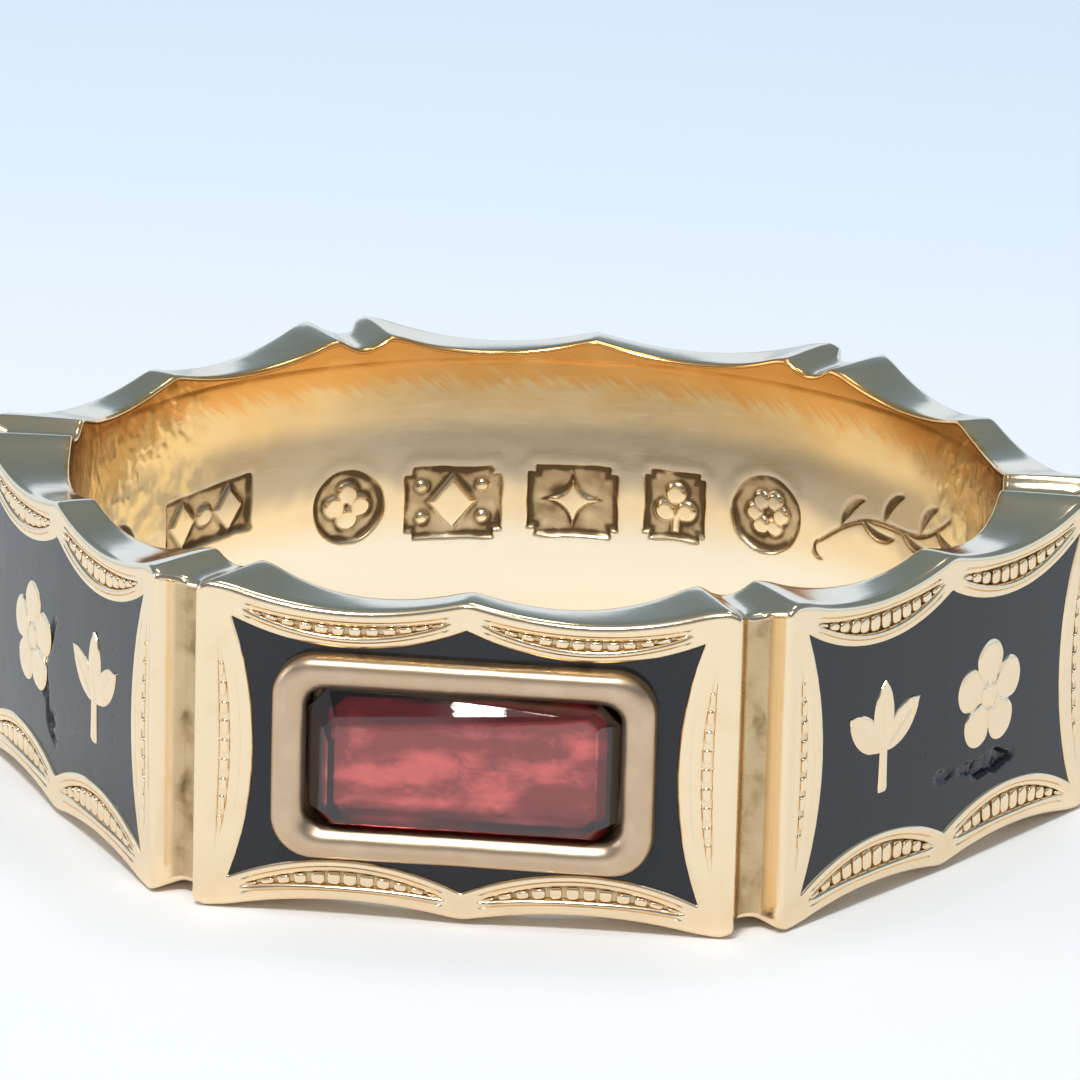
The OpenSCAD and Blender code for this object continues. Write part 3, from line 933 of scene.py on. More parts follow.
def flower_solid(panel, u0, z0):
    """A flower: its outline is the petals' circles in polar form.

    Its top is a parabola outwards, less creases between the petals, veins and a moat round a boss.
    """
    ornament = panel.ring.ornament
    angle = np.linspace(0, math.tau, 24 * PETALS, endpoint=False)
    sector = math.tau / PETALS
    off = (angle - math.pi / 2 + sector / 2) % sector - sector / 2
    from_ray = ornament.petal_circle * np.sin(off)
    edge = ornament.petal_circle * np.cos(off) + np.sqrt(ornament.petal_radius**2 - from_ray**2)
    share_out = FLOWER_STATIONS[:, None]
    radius = share_out * edge
    boss = radius / ornament.boss
    crease = np.abs(off) / (sector / 2)
    dome = PETAL_DOME * (1 - (share_out * 2 - 1.15) ** 2)
    height = dome - PETAL_CREASE * smooth_step(crease, 0.78, 1.0) * smooth_step(share_out, 0.3, 0.5)
    vein = np.exp(-((off * radius / (0.03 * MM)) ** 2))
    vein = vein * smooth_step(share_out, 0.4, 0.5) * smooth_step(0.92 - share_out, 0, 0.1)
    moat = np.exp(-(((boss - 1.05) / 0.12) ** 2))
    height = height - PETAL_VEIN * vein - BOSS_MOAT * moat + BOSS_RISE * smooth_step(1 - boss, 0, 0.9)
    height = height - PETAL_EDGE * smooth_step(share_out, 0.93, 1.0)
    u, z = u0 + radius * np.cos(angle), z0 + radius * np.sin(angle)
    top = place(panel.number, u, z, panel.face(u) + height - FLOWER_SINK)
    base = place(panel.number, u[-1:], z[-1:], panel.face(u[-1:]) - ornament.root)
    return rings_solid(np.concatenate([base, top[::-1]]))


def standing(panel, u, z, height):
    """A slab from an ornament's root to a height over the face."""
    top = place(panel.number, u, z, panel.face(u) + height)
    foot = place(panel.number, u, z, panel.face(u) - panel.ring.ornament.root)
    return slab(top[::-1], foot[::-1])


def leaf_solid(panel, u0, z0, lean):
    """A pointed leaf that grows from (u0, z0) at a lean.

    Its sides are two arcs. Its top is a parabola across, less a midrib and slanting veins.
    """
    ornament = panel.ring.ornament
    size, width = ornament.leaf_height, ornament.leaf_width
    along = np.linspace(0, 1, 33)[None, :]
    across = np.linspace(-1, 1, 17)[:, None]
    radius = bulge_radius(size / 2, width / 2)
    half = np.sqrt(radius**2 - ((along - 0.5) * size) ** 2) - (radius - width / 2)
    half = np.maximum(half, 0.008 * MM)
    x, y = across * half, along * size + 0 * across
    rib = np.exp(-((x / (0.028 * MM)) ** 2)) * smooth_step(0.95 - along, 0, 0.2)
    veins = np.maximum(np.sin((y / MM * 2.3 - np.abs(x) / MM * 1.7) * math.tau), 0) ** 4
    veins = veins * smooth_step(np.abs(across), 0.1, 0.35) * smooth_step(0.95 - np.abs(across), 0, 0.25)
    crown = LEAF_CROWN * (1 - across**2) - LEAF_EDGE * smooth_step(np.abs(across), 0.85, 1)
    height = crown - LEAF_RIB * rib - LEAF_VEIN * veins
    u = u0 + x * math.cos(lean) - y * math.sin(lean)
    z = z0 + x * math.sin(lean) + y * math.cos(lean)
    return standing(panel, u, z, height - LEAF_SINK)


def stem_solid(panel, u0, foot_z, top_z):
    """A sprig's stem: a rounded bar a little wider at its foot."""
    along = np.linspace(0, 1, 15)[None, :]
    across = np.linspace(-1, 1, 9)[:, None]
    half = panel.ring.ornament.stem_half + 0.03 * MM * (1 - along) ** 3
    u = u0 + across * half
    z = foot_z + along * (top_z - foot_z) + 0 * across
    height = STEM_CROWN * (1 - across**2) - STEM_EDGE * smooth_step(np.abs(across), 0.75, 1)
    height = height - STEM_END * smooth_step(np.abs(along - 0.5), 0.46, 0.5)
    return standing(panel, u, z, height - STEM_SINK)


def ornament_solids(panel):
    """A flower and a sprig of three leaves, mirrored on the panels left of the stone."""
    ornament = panel.ring.ornament
    side = -1 if panel.number > PANELS / 2 else 1
    flower_u, sprig_u = side * ornament.flower_x, -side * ornament.sprig_x
    foot = -(ornament.leaf_height + ornament.stem_height) / 2
    fork = foot + ornament.stem_height
    leaves = [leaf_solid(panel, sprig_u, fork, turn * ornament.leaf_lean) for turn in (1, -1, 0)]
    stem = stem_solid(panel, sprig_u, foot, fork + ornament.leaf_height / 4)
    return [flower_solid(panel, flower_u, 0.0), stem, *leaves]


# A pad from its foot to its crown: height as a share of the channel's depth, and share of its width
# and length. The floor from which the heights count lies this share of the depth below the face.
PAD_PROFILE = np.array([[-0.5, 1.0], [0.45, 1.0], [0.8, 0.93], [0.97, 0.72], [1.02, 0.35]])
PAD_FLOOR = 1.08

# Half a pad's length as a share of the pitch, half its width as a share of the channel's, and the least
PAD_LENGTH, PAD_WIDTH, NARROW_PAD = 0.41, 0.43, 0.02 * MM

# A side channel's pads: half the length, half the width as a share of the channel's, and their heights
SIDE_PAD_LENGTH, SIDE_PAD_WIDTH = 0.13 * MM, 0.4
SIDE_PADS = np.arange(-1.4, 1.41, 0.35) * MM


def bead_solids(panel, u, z, along, across, turn, depth):
    """Chased pads at (u, z) on a channel's floor: rounded rectangles that shrink to crowned tops.

    A pad's outline is a superellipse: the square root of the cosine along it and of the sine across
    it, signs kept.
    """
    angle = np.linspace(0, math.tau, 12, endpoint=False) + math.pi / 12
    cos, sin = np.cos(angle), np.sin(angle)
    cos, sin = np.sign(cos) * np.sqrt(np.abs(cos)), np.sign(sin) * np.sqrt(np.abs(sin))
    lift, spread = PAD_PROFILE[:, :1], PAD_PROFILE[:, 1:]
    solids = []
    for i in range(len(u)):
        x, y = spread * along[i] * cos, spread * across[i] * sin
        bead_u = u[i] + x * math.cos(turn[i]) - y * math.sin(turn[i])
        bead_z = z[i] + x * math.sin(turn[i]) + y * math.cos(turn[i])
        bead_n = panel.face(bead_u) + (lift - PAD_FLOOR) * depth[i]
        solids.append(rings_solid(place(panel.number, bead_u, bead_z, bead_n)))
    return solids


def channel_middle(border, start, width):
    """Middle of a lunette's channel, whose lip and outer edge share the spare width evenly."""
    return start + (width + border.lip - border.outer_edge) / 2


def lunette_beads(panel):
    """The pads in a panel's upper, lower and side channels, spaced evenly along each channel's middle."""
    band, border = panel.ring.band, panel.ring.border
    draw = np.random.default_rng(7 + panel.number)
    solids = []
    span = panel.half_width * (CHANNEL_END - CHANNEL_START)
    count = int(span / border.bead_pitch)
    for side in (-1, 1):
        scallop = band.top_scallop if side > 0 else band.bottom_scallop
        middle = panel.half_width * (CHANNEL_START + CHANNEL_END) / 2
        from_middle = (np.arange(count) - (count - 1) / 2) * span / (count + 0.3)
        for hand in (-1, 1):
            u = hand * (middle + from_middle) + draw.normal(0, 0.01 * MM, count)
            low = panel.field_top(u)
            height = panel.rim(u, panel.face(u), scallop) - band.edge_round - low
            channel, openness = upper_channel(panel, u, height)
            z = channel_middle(border, low, height)
            slope = np.gradient(z, u)
            along = PAD_LENGTH * border.bead_pitch * draw.uniform(0.9, 1.04, count)
            across = np.maximum(channel * PAD_WIDTH, NARROW_PAD)
            depth = border.channel_depth * openness * draw.uniform(0.9, 1.05, count)
            solids += bead_solids(panel, u, side * z, along, across, side * np.arctan(slope), depth)
    z = SIDE_PADS
    inner = panel.field_side(z)
    channel, openness = side_channel(z)
    at = channel_middle(border, inner, band.panel_width / 2 - END_ROUND - inner)
    for hand in (-1, 1):
        tall = SIDE_PAD_LENGTH * draw.uniform(0.85, 1.1, len(z))
        depth = border.channel_depth * openness * draw.uniform(0.8, 1.0, len(z))
        solids += bead_solids(panel, hand * at, z, channel * SIDE_PAD_WIDTH, tall, np.zeros(len(z)), depth)
    return solids


def box_distance(s, z, half_s, half_z):
    """Signed distance outside a box: its outer corner distance, or the nearer side's inside."""
    ds, dz = np.abs(s) - half_s, np.abs(z) - half_z
    return np.hypot(np.maximum(ds, 0), np.maximum(dz, 0)) + np.minimum(np.maximum(ds, dz), 0)


def notched_distance(s, z, half_s, half_z, notch):
    """Signed distance outside a box with square notches cut from its corners."""
    return np.minimum(box_distance(s, z, half_s, half_z - notch), box_distance(s, z, half_s - notch, half_z))


def oval_distance(s, z, half_s, half_z):
    """Roughly the signed distance outside an ellipse."""
    return (np.hypot(s / half_s, z / half_z) - 1) * min(half_s, half_z)


def petals_distance(s, z, ring_radius, petal_radius, count):
    """Signed distance outside the nearest of a ring of discs."""
    turn = np.arctan2(z, s)
    sector = math.tau / count
    off = (turn + sector / 2) % sector - sector / 2
    radius = np.hypot(s, z)
    return np.hypot(radius * np.cos(off) - ring_radius, radius * np.sin(off)) - petal_radius


def star_distance(s, z, reach):
    """Roughly the signed distance outside a four-pointed star whose sides curve inwards."""
    return (np.sqrt(np.abs(s) / reach) + np.sqrt(np.abs(z) / reach)) ** 2 * reach * 0.5 - reach * 0.5


def lozenge_distance(s, z, half_s, half_z):
    """Roughly the signed distance outside a lozenge."""
    return (np.abs(s) / half_s + np.abs(z) / half_z - 1) * min(half_s, half_z) * 0.7


def mark_shapes(s, z):
    """Each mark's outline and raised device, as signed distances in millimetres at arc s and height z.

    They are a bar with two lozenges, a rosette, a lozenge, a star, a trefoil and another rosette.
    """
    def local(s0, z0, lean=0.0):
        return s - s0, z - z0 - lean * (s - s0)

    a, b = local(-8.15, -0.05, 0.09)
    bars = np.minimum(lozenge_distance(a + 0.62, b, 0.34, 0.44), lozenge_distance(a - 0.62, b, 0.34, 0.44))
    yield box_distance(a, b, 1.1, 0.5) - 0.06, np.minimum(bars, np.hypot(a, b) - 0.19)
    a, b = local(-4.82, -0.36)
    rosette = np.maximum(petals_distance(a, b, 0.26, 0.21, 4), 0.06 - np.hypot(a, b))
    yield oval_distance(a, b, 0.755, 0.74), rosette
    a, b = local(-2.68, -0.4)
    corners = np.hypot(np.abs(a) - 0.6, np.abs(b) - 0.32) - 0.1
    lozenge = np.minimum(lozenge_distance(a, b, 0.44, 0.52), corners)
    yield notched_distance(a, b, 0.94, 0.7, 0.16) - 0.03, lozenge
    a, b = local(-0.32, -0.34)
    star = np.minimum(star_distance(a, b, 0.62), np.hypot(a, b) - 0.2)
    yield notched_distance(a, b, 0.875, 0.695, 0.15) - 0.03, star
    a, b = local(1.72, -0.28)
    trefoil = np.minimum(petals_distance(b, a, 0.24, 0.19, 3), box_distance(a, b + 0.34, 0.05, 0.2))
    yield notched_distance(a, b, 0.6, 0.67, 0.12) - 0.03, trefoil
    a, b = local(3.67, -0.16)
    rosette = np.maximum(petals_distance(a, b, 0.29, 0.165, 6), 0.1 - np.hypot(a, b))
    yield oval_distance(a, b, 0.77, 0.775), rosette


def stroke(start, turn, length, bend, thick):
    """A comma stroke from start: it bends evenly along its length and swells in its middle."""
    t = np.linspace(0, 1, 40)
    angle = turn + bend * t
    step = length / len(t)
    s = start[0] + np.cumsum(np.cos(angle)) * step
    z = start[1] + np.cumsum(np.sin(angle)) * step
    return s, z, thick * np.sin(math.pi * (0.08 + 0.9 * t)) ** 0.8


def scroll_strokes():
    """The engraved leafy spray's strokes, each points (s, z) and half widths in millimetres."""
    t = np.linspace(0, 1, 110)
    stem_s, stem_z = 4.95 + 3.9 * t, -0.42 + 1.35 * t + 0.24 * np.sin(math.tau * t)
    yield stem_s, stem_z, 0.035 + 0.02 * np.sin(math.pi * t)
    for at, way in ((14, 1), (30, -1), (46, 1), (62, -1), (78, 1), (94, -1)):
        start = (stem_s[at], stem_z[at])
        yield stroke(start, 0.35 + way * 1.05, 0.98, -way * 1.1, 0.1)
    yield stroke((stem_s[0], stem_z[0]), 3.4, 0.6, 3.2, 0.05)
    yield stroke((-10.35, -0.45), 1.5, 1.2, 1.5, 0.1)


# Grid lines across and up the strip
STRIP_COLUMNS, STRIP_ROWS = 780, 104

# In millimetres: how deep a stroke and a punch go, how far a device rises in its punch, how uneven the
# punch's floor is, how high the metal stands round it, and how wavy its outline is
STROKE_DEPTH, PUNCH_DEPTH, DEVICE_RISE, FLOOR_UNEVEN, PUSHED_UP = 0.03, 0.085, 0.07, 0.008, 0.004
OUTLINE_WAVE, OUTLINE_RIPPLE = 0.016, 0.008


def marks_strip(ring):
    """The strip of the bore with the punched marks: a curved slab whose front follows their distances.

    Inside an outline the front sinks by a smooth step of the distance, the device rises again by
    another, and the metal pushed aside by the punch stands up round it as a bell of the distance.
    Strokes are cut as rounded grooves.
    """
    radius = ring.band.bore_radius
    angle = np.linspace(STRIP_FROM, STRIP_TO, STRIP_COLUMNS)[None, :]
    z = np.linspace(STRIP_LOW, STRIP_HIGH, STRIP_ROWS)[:, None] + 0 * angle
    s_mm, z_mm = angle * radius / MM + 0 * z, z / MM
    depth, hollow = 0 * z, 0 * z
    uneven = ripple(s_mm * 9, z_mm * 9, 61)
    for outline, device in mark_shapes(s_mm, z_mm):
        outline = outline + OUTLINE_WAVE * ripple(s_mm * 4, z_mm * 4, 62)
        outline = outline + OUTLINE_RIPPLE * ripple(s_mm * 13, z_mm * 13, 63)
        inside = smooth_step(-outline, -0.02, 0.07)
        raised = smooth_step(-device, -0.05, 0.05)
        depth = depth + inside * (PUNCH_DEPTH - DEVICE_RISE * raised + FLOOR_UNEVEN * uneven * (1 - raised))
        depth = depth - PUSHED_UP * np.exp(-(((outline - 0.1) / 0.15) ** 2))
        # Darker just inside the outline and round the device's foot: painted shade in the punch's corners, on
        # top of the tarnish of its ground
        rim = np.exp(-(((outline + 0.07) / 0.07) ** 2))
        foot = np.exp(-(((device - 0.06) / 0.05) ** 2))
        soiled = 0.68 + 0.12 * uneven + 0.6 * np.maximum(rim, 0.7 * foot)
        hollow = np.maximum(hollow, smooth_step(-outline, -0.03, 0.03) * (1 - raised) * soiled)
    for stroke_s, stroke_z, half in scroll_strokes():
        near = (s_mm[0] > stroke_s.min() - 0.3) & (s_mm[0] < stroke_s.max() + 0.3)
        away = np.full((len(z), near.sum()), 9.0)
        for at_s, at_z, width in zip(stroke_s, stroke_z, half):
            away = np.minimum(away, np.hypot(s_mm[:, near] - at_s, z_mm[:, near] - at_z) - width)
        cut = smooth_step(-away, -0.03, 0.05)
        depth[:, near] = np.maximum(depth[:, near], STROKE_DEPTH * cut)
        hollow[:, near] = np.maximum(hollow[:, near], 1.1 * cut)
    front = radius - 0.001 * MM + depth * MM
    back = radius + STRIP_ROOM - 0.005 * MM + 0 * z

    def bend(r):
        return np.stack([r * np.sin(angle), r * np.cos(angle), z], axis=-1)

    return backed(bend(front), bend(back)), np.concatenate([hollow[:1], hollow, hollow[-1:]])


class Term:
    """One output of a tree's nodes. Arithmetic on terms adds Math nodes."""

    def __init__(self, nodes, socket):
        self.nodes = nodes
        self.socket = socket

    def math(self, operation, *values):
        """A Math node over the values given."""
        return self.nodes.node("ShaderNodeMath", {"operation": operation}, dict(enumerate(values)))

    def __add__(self, other):
        return self.math("ADD", self, other)

    def __sub__(self, other):
        return self.math("SUBTRACT", self, other)

    def __rsub__(self, other):
        return self.math("SUBTRACT", other, self)

    def __mul__(self, other):
        return self.math("MULTIPLY", self, other)

    def __pow__(self, other):
        return self.math("POWER", self, other)

    __radd__ = __add__
    __rmul__ = __mul__

    def between(self, low, high):
        """0 below low, 1 above high and smooth between."""
        inputs = {"Value": self, "From Min": low, "From Max": high}
        return self.nodes.node("ShaderNodeMapRange", {"interpolation_type": "SMOOTHSTEP"}, inputs)

    def absolute(self):
        """Its size without its sign."""
        return self.math("ABSOLUTE", self)

    def clamp(self):
        """Held between 0 and 1."""
        return self.nodes.node("ShaderNodeClamp", {}, {"Value": self})


class Nodes:
    """A node tree under construction."""

    def __init__(self, tree):
        self.tree = tree

    def node(self, kind, settings=None, inputs=None, output=0):
        """Adds a node: its settings first, a ramp's stops as pairs, then its inputs' values or links."""
        made = self.tree.nodes.new(kind)
        for key, value in (settings or {}).items():
            if key == "stops":
                while len(made.color_ramp.elements) < len(value):
                    made.color_ramp.elements.new(0.5)
                for element, (position, shade) in zip(made.color_ramp.elements, value):
                    element.position = position
                    element.color = (*shade, 1.0)
            else:
                setattr(made, key, value)
        for key, value in (inputs or {}).items():
            if isinstance(value, Term):
                self.tree.links.new(value.socket, made.inputs[key])
            else:
                made.inputs[key].default_value = value
        return Term(self, made.outputs[output])

    def mix(self, factor, a, b):
        """A colour between a and b."""
        def shade(value):
            return value if isinstance(value, Term) else (*value[:3], 1.0)

        inputs = {0: factor, 6: shade(a), 7: shade(b)}
        return self.node("ShaderNodeMix", {"data_type": "RGBA"}, inputs, output=2)

    def split(self, vector):
        """A vector's x, y and z."""
        return [self.node("ShaderNodeSeparateXYZ", {}, {0: vector}, output=i) for i in range(3)]


class Finish(Nodes):
    """A material under construction, with a Principled shader whose fixed values are given by socket name."""

    def __init__(self, name, **fixed):
        self.material = bpy.data.materials.new(name)
        self.material.use_nodes = True
        super().__init__(self.material.node_tree)
        self.shader = next(n for n in self.tree.nodes if n.type == "BSDF_PRINCIPLED")
        for socket, value in fixed.items():
            self.shader.inputs[socket.replace("_", " ")].default_value = value
        self.place = self.node("ShaderNodeTexCoord", output="Object")

    def noise(self, per_mm, detail=3.0, roughness=0.5, stretch=(1.0, 1.0, 1.0), distortion=0.0, place=None):
        """Noise with so many features a millimetre, stretched along the axes."""
        per_axis = [per_mm / MM * x for x in stretch]
        scaling = {0: place or self.place, 1: per_axis}
        scaled = self.node("ShaderNodeVectorMath", {"operation": "MULTIPLY"}, scaling)
        inputs = {"Detail": detail, "Roughness": roughness, "Distortion": distortion}
        return self.node("ShaderNodeTexNoise", {}, {"Vector": scaled, "Scale": 1.0, **inputs})

    def joined(self, x, y, z):
        """A vector of x, y and z."""
        return self.node("ShaderNodeCombineXYZ", {}, {0: x, 1: y, 2: z})

    def attribute(self, name):
        """A number kept at each of the piece's points."""
        return self.node("ShaderNodeAttribute", {"attribute_name": name}, output="Fac")

    def bump(self, height, distance):
        """Sends a height through a Bump node to the shader's normal."""
        inputs = {"Height": height, "Distance": distance, "Strength": 1.0}
        self.feed("Normal", self.node("ShaderNodeBump", {}, inputs))

    def feed(self, socket, term):
        """Links a term to one of the shader's sockets."""
        self.tree.links.new(term.socket, self.shader.inputs[socket])


# Colours of the gold: a darker brown by the dulled share, warm in patches and tarnish at the hollows' edges;
# in the bore from its lower part upwards, a painted reflection of the lit floor, a band of painted shade,
# an amber and a deeper orange painted reflection, the latter along file marks, then the colour of its
# hammered ends, and a painted orange reflection just under the rim
DARKER_GOLD = (0.56, 0.4, 0.27)
WARM_GOLD = (0.84, 0.58, 0.31)
TARNISHED_GOLD = (0.5, 0.35, 0.18)
FLOOR_REFLECTION_GOLD = (1.0, 0.94, 0.77)
SHADED_BORE_GOLD = (0.56, 0.45, 0.31)
AMBER_REFLECTION_GOLD = (1.0, 0.6, 0.23)
FILED_REFLECTION_GOLD = (1.0, 0.5, 0.15)
HAMMERED_GOLD = (1.0, 0.78, 0.42)
EAVE_REFLECTION_GOLD = (0.85, 0.42, 0.13)

# Where those zones start and end, in metres: distances from the axis, distances to the side, and heights
BORE_SKIN = (8.66 * MM, 8.74 * MM)
HAMMERED_ENDS = (6.6 * MM, 7.6 * MM)
FLOOR_REFLECTION_TOP = (-1.3 * MM, -0.4 * MM)
SHADE_FOOT, SHADE_TOP = (0.2 * MM, 0.9 * MM), (0.9 * MM, 1.5 * MM)
AMBER_REFLECTION_FOOT = (1.2 * MM, 2.4 * MM)
FILED_FOOT = (2.35 * MM, 2.75 * MM)
SMOOTH_RIMS = (2.4 * MM, 2.6 * MM)


def worn_gold(look, name, hollows, dulled=0.0):
    """Worn yellow gold: paler outside than in the bore, wavy and finely scratched, tarnished in its hollows,
    with bands of painted reflection and shade up the bore.

    Scratches are noise drawn out round the axis, in the angle about it and the height.
    """
    gold = Finish(name, Metallic=1.0)
    x, y, z = gold.split(gold.place)
    from_axis = (x * x + y * y) ** 0.5
    in_bore = 1.0 - from_axis.between(*BORE_SKIN)
    around = x.math("ARCTAN2", x, y) * BORE_RADIUS
    unrolled = gold.joined(around, z, from_axis)
    slanting = gold.joined(around + z * 1.2, z, from_axis)
    waves = gold.noise(0.75, detail=2.0)
    patches = gold.noise(1.5, detail=3.0, distortion=0.4)
    specks = gold.noise(7.0, detail=2.0, roughness=0.6)
    pits = gold.noise(2.6, detail=1.0).between(0.35, 0.65)
    fine = gold.noise(0.6, detail=3.0, roughness=0.6, stretch=(1.0, 45.0, 1.0), place=unrolled)
    slanted = gold.noise(0.5, detail=2.0, stretch=(2.0, 36.0, 1.0), distortion=0.3, place=unrolled)
    filed = gold.noise(1.1, detail=2.0, roughness=0.6, stretch=(6.0, 1.0, 1.0), place=slanting)
    scratches = fine.between(0.55, 0.75) + slanted.between(0.66, 0.72)

    # The wear all over, then the bore's bands of painted reflection and shade from below upwards, and its
    # hammered ends
    tint = gold.mix(in_bore, look.gold, look.bore_gold)
    if dulled:
        # Darker and browner in patches by the dulled share
        tint = gold.mix(dulled * (0.6 + patches * 0.8), tint, DARKER_GOLD)
    tint = gold.mix(patches.between(0.5, 0.8) * 0.3, tint, WARM_GOLD)
    # Painted reflection: the lower bore is paled where it would mirror the lit floor inside the ring
    tint = gold.mix(in_bore * (1.0 - z.between(*FLOOR_REFLECTION_TOP)) * 0.8, tint, FLOOR_REFLECTION_GOLD)
    # Painted shade: a darker band where the bore would mirror the shadowed floor inside the ring
    bore_shade = (z + waves * (1.2 * MM)).between(*SHADE_FOOT) * (1.0 - z.between(*SHADE_TOP))
    tint = gold.mix(in_bore * bore_shade, tint, SHADED_BORE_GOLD)
    # Painted reflection: amber in patches under the rim, where the gold would mirror itself
    tint = gold.mix(in_bore * z.between(*AMBER_REFLECTION_FOOT) * patches.between(0.35, 0.65) * 0.85, tint, AMBER_REFLECTION_GOLD)
    # Painted reflection: a deeper orange at the top of the bore, laid along the file marks
    tint = gold.mix(in_bore * (z + filed * MM).between(*FILED_FOOT) * 0.8, tint, FILED_REFLECTION_GOLD)
    hammered = in_bore * x.absolute().between(*HAMMERED_ENDS) * pits
    tint = gold.mix(hammered * 0.8, tint, HAMMERED_GOLD)

    # Tarnish gathers in the hollows, and a thin film of it round them; on the bezel the hollow marks carry
    # painted shade instead
    grime = 0.0
    if hollows:
        eave, hollow = gold.attribute("eave"), gold.attribute("hollow")
        # Painted reflection: orange just inside the upper rim
        tint = gold.mix((eave * (0.4 + patches)).between(0.1, 0.85) * 0.8, tint, EAVE_REFLECTION_GOLD)
        film = (hollow.between(0.25, 0.75) * (0.45 + patches * 0.8)).clamp()
        tint = gold.mix(film * look.wear, tint, TARNISHED_GOLD)
        grime = (hollow * (0.8 + (patches - 0.5) * 1.5)).between(0.55, 0.95)
        tint = gold.mix(grime * (look.wear * 0.85), tint, look.dirt)
        grime = grime + film * 0.5
    gold.feed("Base Color", tint)
    worn = waves * 0.06 + in_bore * 0.03 + grime * 0.3 + scratches * 0.05
    gold.feed("Roughness", 0.1 + dulled * 0.2 + worn)
    smoothed = 1.0 - (z.absolute().between(*SMOOTH_RIMS) * 0.75 + in_bore * 0.5).clamp()
    relief = (waves * 3.0 + patches * 0.6) * smoothed + specks * 0.2 + scratches * 0.035 + hammered * 1.1
    gold.bump(relief, 0.005 * MM * look.wear)
    return gold.material


# Colours of the enamel's clouds and dust, the garnet's facets round the table in painted shade, the foil
# between its painted highlights and in them, and the floor by the ring and far behind it, where a painted
# blue stands in for dimmer, bluer light
BLUISH_ENAMEL, GREY_DUST = (0.012, 0.015, 0.022), (0.12, 0.12, 0.12)
SHADED_GARNET = (0.11, 0.005, 0.006)
DULL_FOIL, PAINTED_FOIL_HIGHLIGHT = (0.38, 0.26, 0.28), (1.0, 0.85, 0.8)
NEAR_FLOOR, FAR_FLOOR = (0.93, 0.94, 0.95), (0.76, 0.88, 1.0)


def fired_enamel(look):
    """Fired black enamel: near black under a glassy skin, a little uneven, with faint dust and pinholes."""
    enamel = Finish("fired black enamel", IOR=1.46)
    clouds = enamel.noise(1.3, detail=4.0)
    pinholes = enamel.noise(6.0, detail=2.0).between(0.7, 0.76)
    dust = enamel.noise(14.0, detail=4.0, roughness=0.7).between(0.6, 0.8)
    base = enamel.mix(clouds * 0.5, look.enamel, BLUISH_ENAMEL)
    enamel.feed("Base Color", enamel.mix(dust * 0.06, base, GREY_DUST))
    enamel.feed("Roughness", 0.06 + clouds * 0.1 + pinholes * 0.2 + dust * 0.1)
    enamel.bump(clouds - pinholes * 0.8 + dust * 0.2, 0.006 * MM)
    return enamel.material


def cut_garnet(look):
    """Clear red garnet with painted shade in its facets round the table, and faint rubbed edges."""
    garnet = Finish("cut garnet", IOR=1.76, Transmission_Weight=1.0)
    clouds = garnet.noise(0.8, detail=3.0)
    clear = garnet.mix(clouds.between(0.3, 0.7) * 0.3, look.garnet, [0.8 * c for c in look.garnet])
    through_table = garnet.attribute("window").between(0.4, 0.98)
    # Painted shade: the facets round the table are made deep red, and only the table keeps the clear red
    garnet.feed("Base Color", garnet.mix(through_table, SHADED_GARNET, clear))
    rubs = garnet.noise(5.0, detail=5.0, roughness=0.7)
    garnet.feed("Roughness", 0.01 + rubs * 0.04)
    garnet.bump(rubs + clouds * 3.0, 0.001 * MM)
    return garnet.material


def red_foil():
    """Red foil behind the stone, with painted highlights in patches and dull and dark between them."""
    foil = Finish("aged red foil", Metallic=1.0)
    fine = foil.noise(3.0, detail=5.0, roughness=0.6, stretch=(1.0, 1.0, 1.8), distortion=0.6)
    # The glow marks and a fine noise lay painted highlights into the foil's colour
    glow = (foil.attribute("glow") + (fine - 0.5) * 1.4).between(0.04, 1.02)
    foil.feed("Base Color", foil.mix(glow, DULL_FOIL, PAINTED_FOIL_HIGHLIGHT))
    foil.feed("Roughness", 0.16 + fine * 0.08)
    foil.bump(fine, 0.004 * MM)
    return foil.material


def pale_floor():
    """Matt white floor, painted pale blue further behind the ring, where that blue stands in for dimmer,
    bluer light.
    """
    floor = Finish("pale floor", Roughness=0.9, Specular_IOR_Level=0.1)
    _, y, _ = floor.split(floor.place)
    # Painted light: the floor turns blue with distance behind the ring
    far = y.between(2 * MM, 75 * MM)
    grain = floor.noise(0.05, detail=2.0)
    floor.feed("Base Color", floor.mix((far + (grain - 0.5) * 0.03).clamp(), NEAR_FLOOR, FAR_FLOOR))
    return floor.material


def ring_of(context):
    """The scene's ring settings: band, border, ornament, bezel and finish."""
    return context.scene.mourning_ring


class MourningRing(bpy.types.PropertyGroup):
    """All of the ring's settings."""

    band: settings(RingBand, "Band", "Sizes of the gold band")
    border: settings(RingBorder, "Border", "Sizes of the fields and lunettes")
    ornament: settings(RingOrnament, "Ornament", "Sizes of the flowers and sprigs")
    bezel: settings(RingBezel, "Bezel", "Sizes of the bezel and the stone")
    finish: settings(RingFinish, "Finish", "Colours and wear")


class RING_OT_band(bpy.types.Operator):
    """Make the gold band with its scalloped rims, lunettes and grooves"""

    bl_idname = "ring.band"
    bl_label = "Gold band"

    def execute(self, context):
        ring = ring_of(context)
        points, marks = band_points(ring)
        rows, columns = points.shape[:2]
        solid = (points.reshape(-1, 3), [quad_grid(rows, columns, wrap_rows=True, wrap_columns=True)])
        gold = worn_gold(ring.finish, "worn gold", hollows=True)
        make_piece("gold_band_dressed", [solid], gold, ["gold_band"], marks, crease=42)
        return {"FINISHED"}


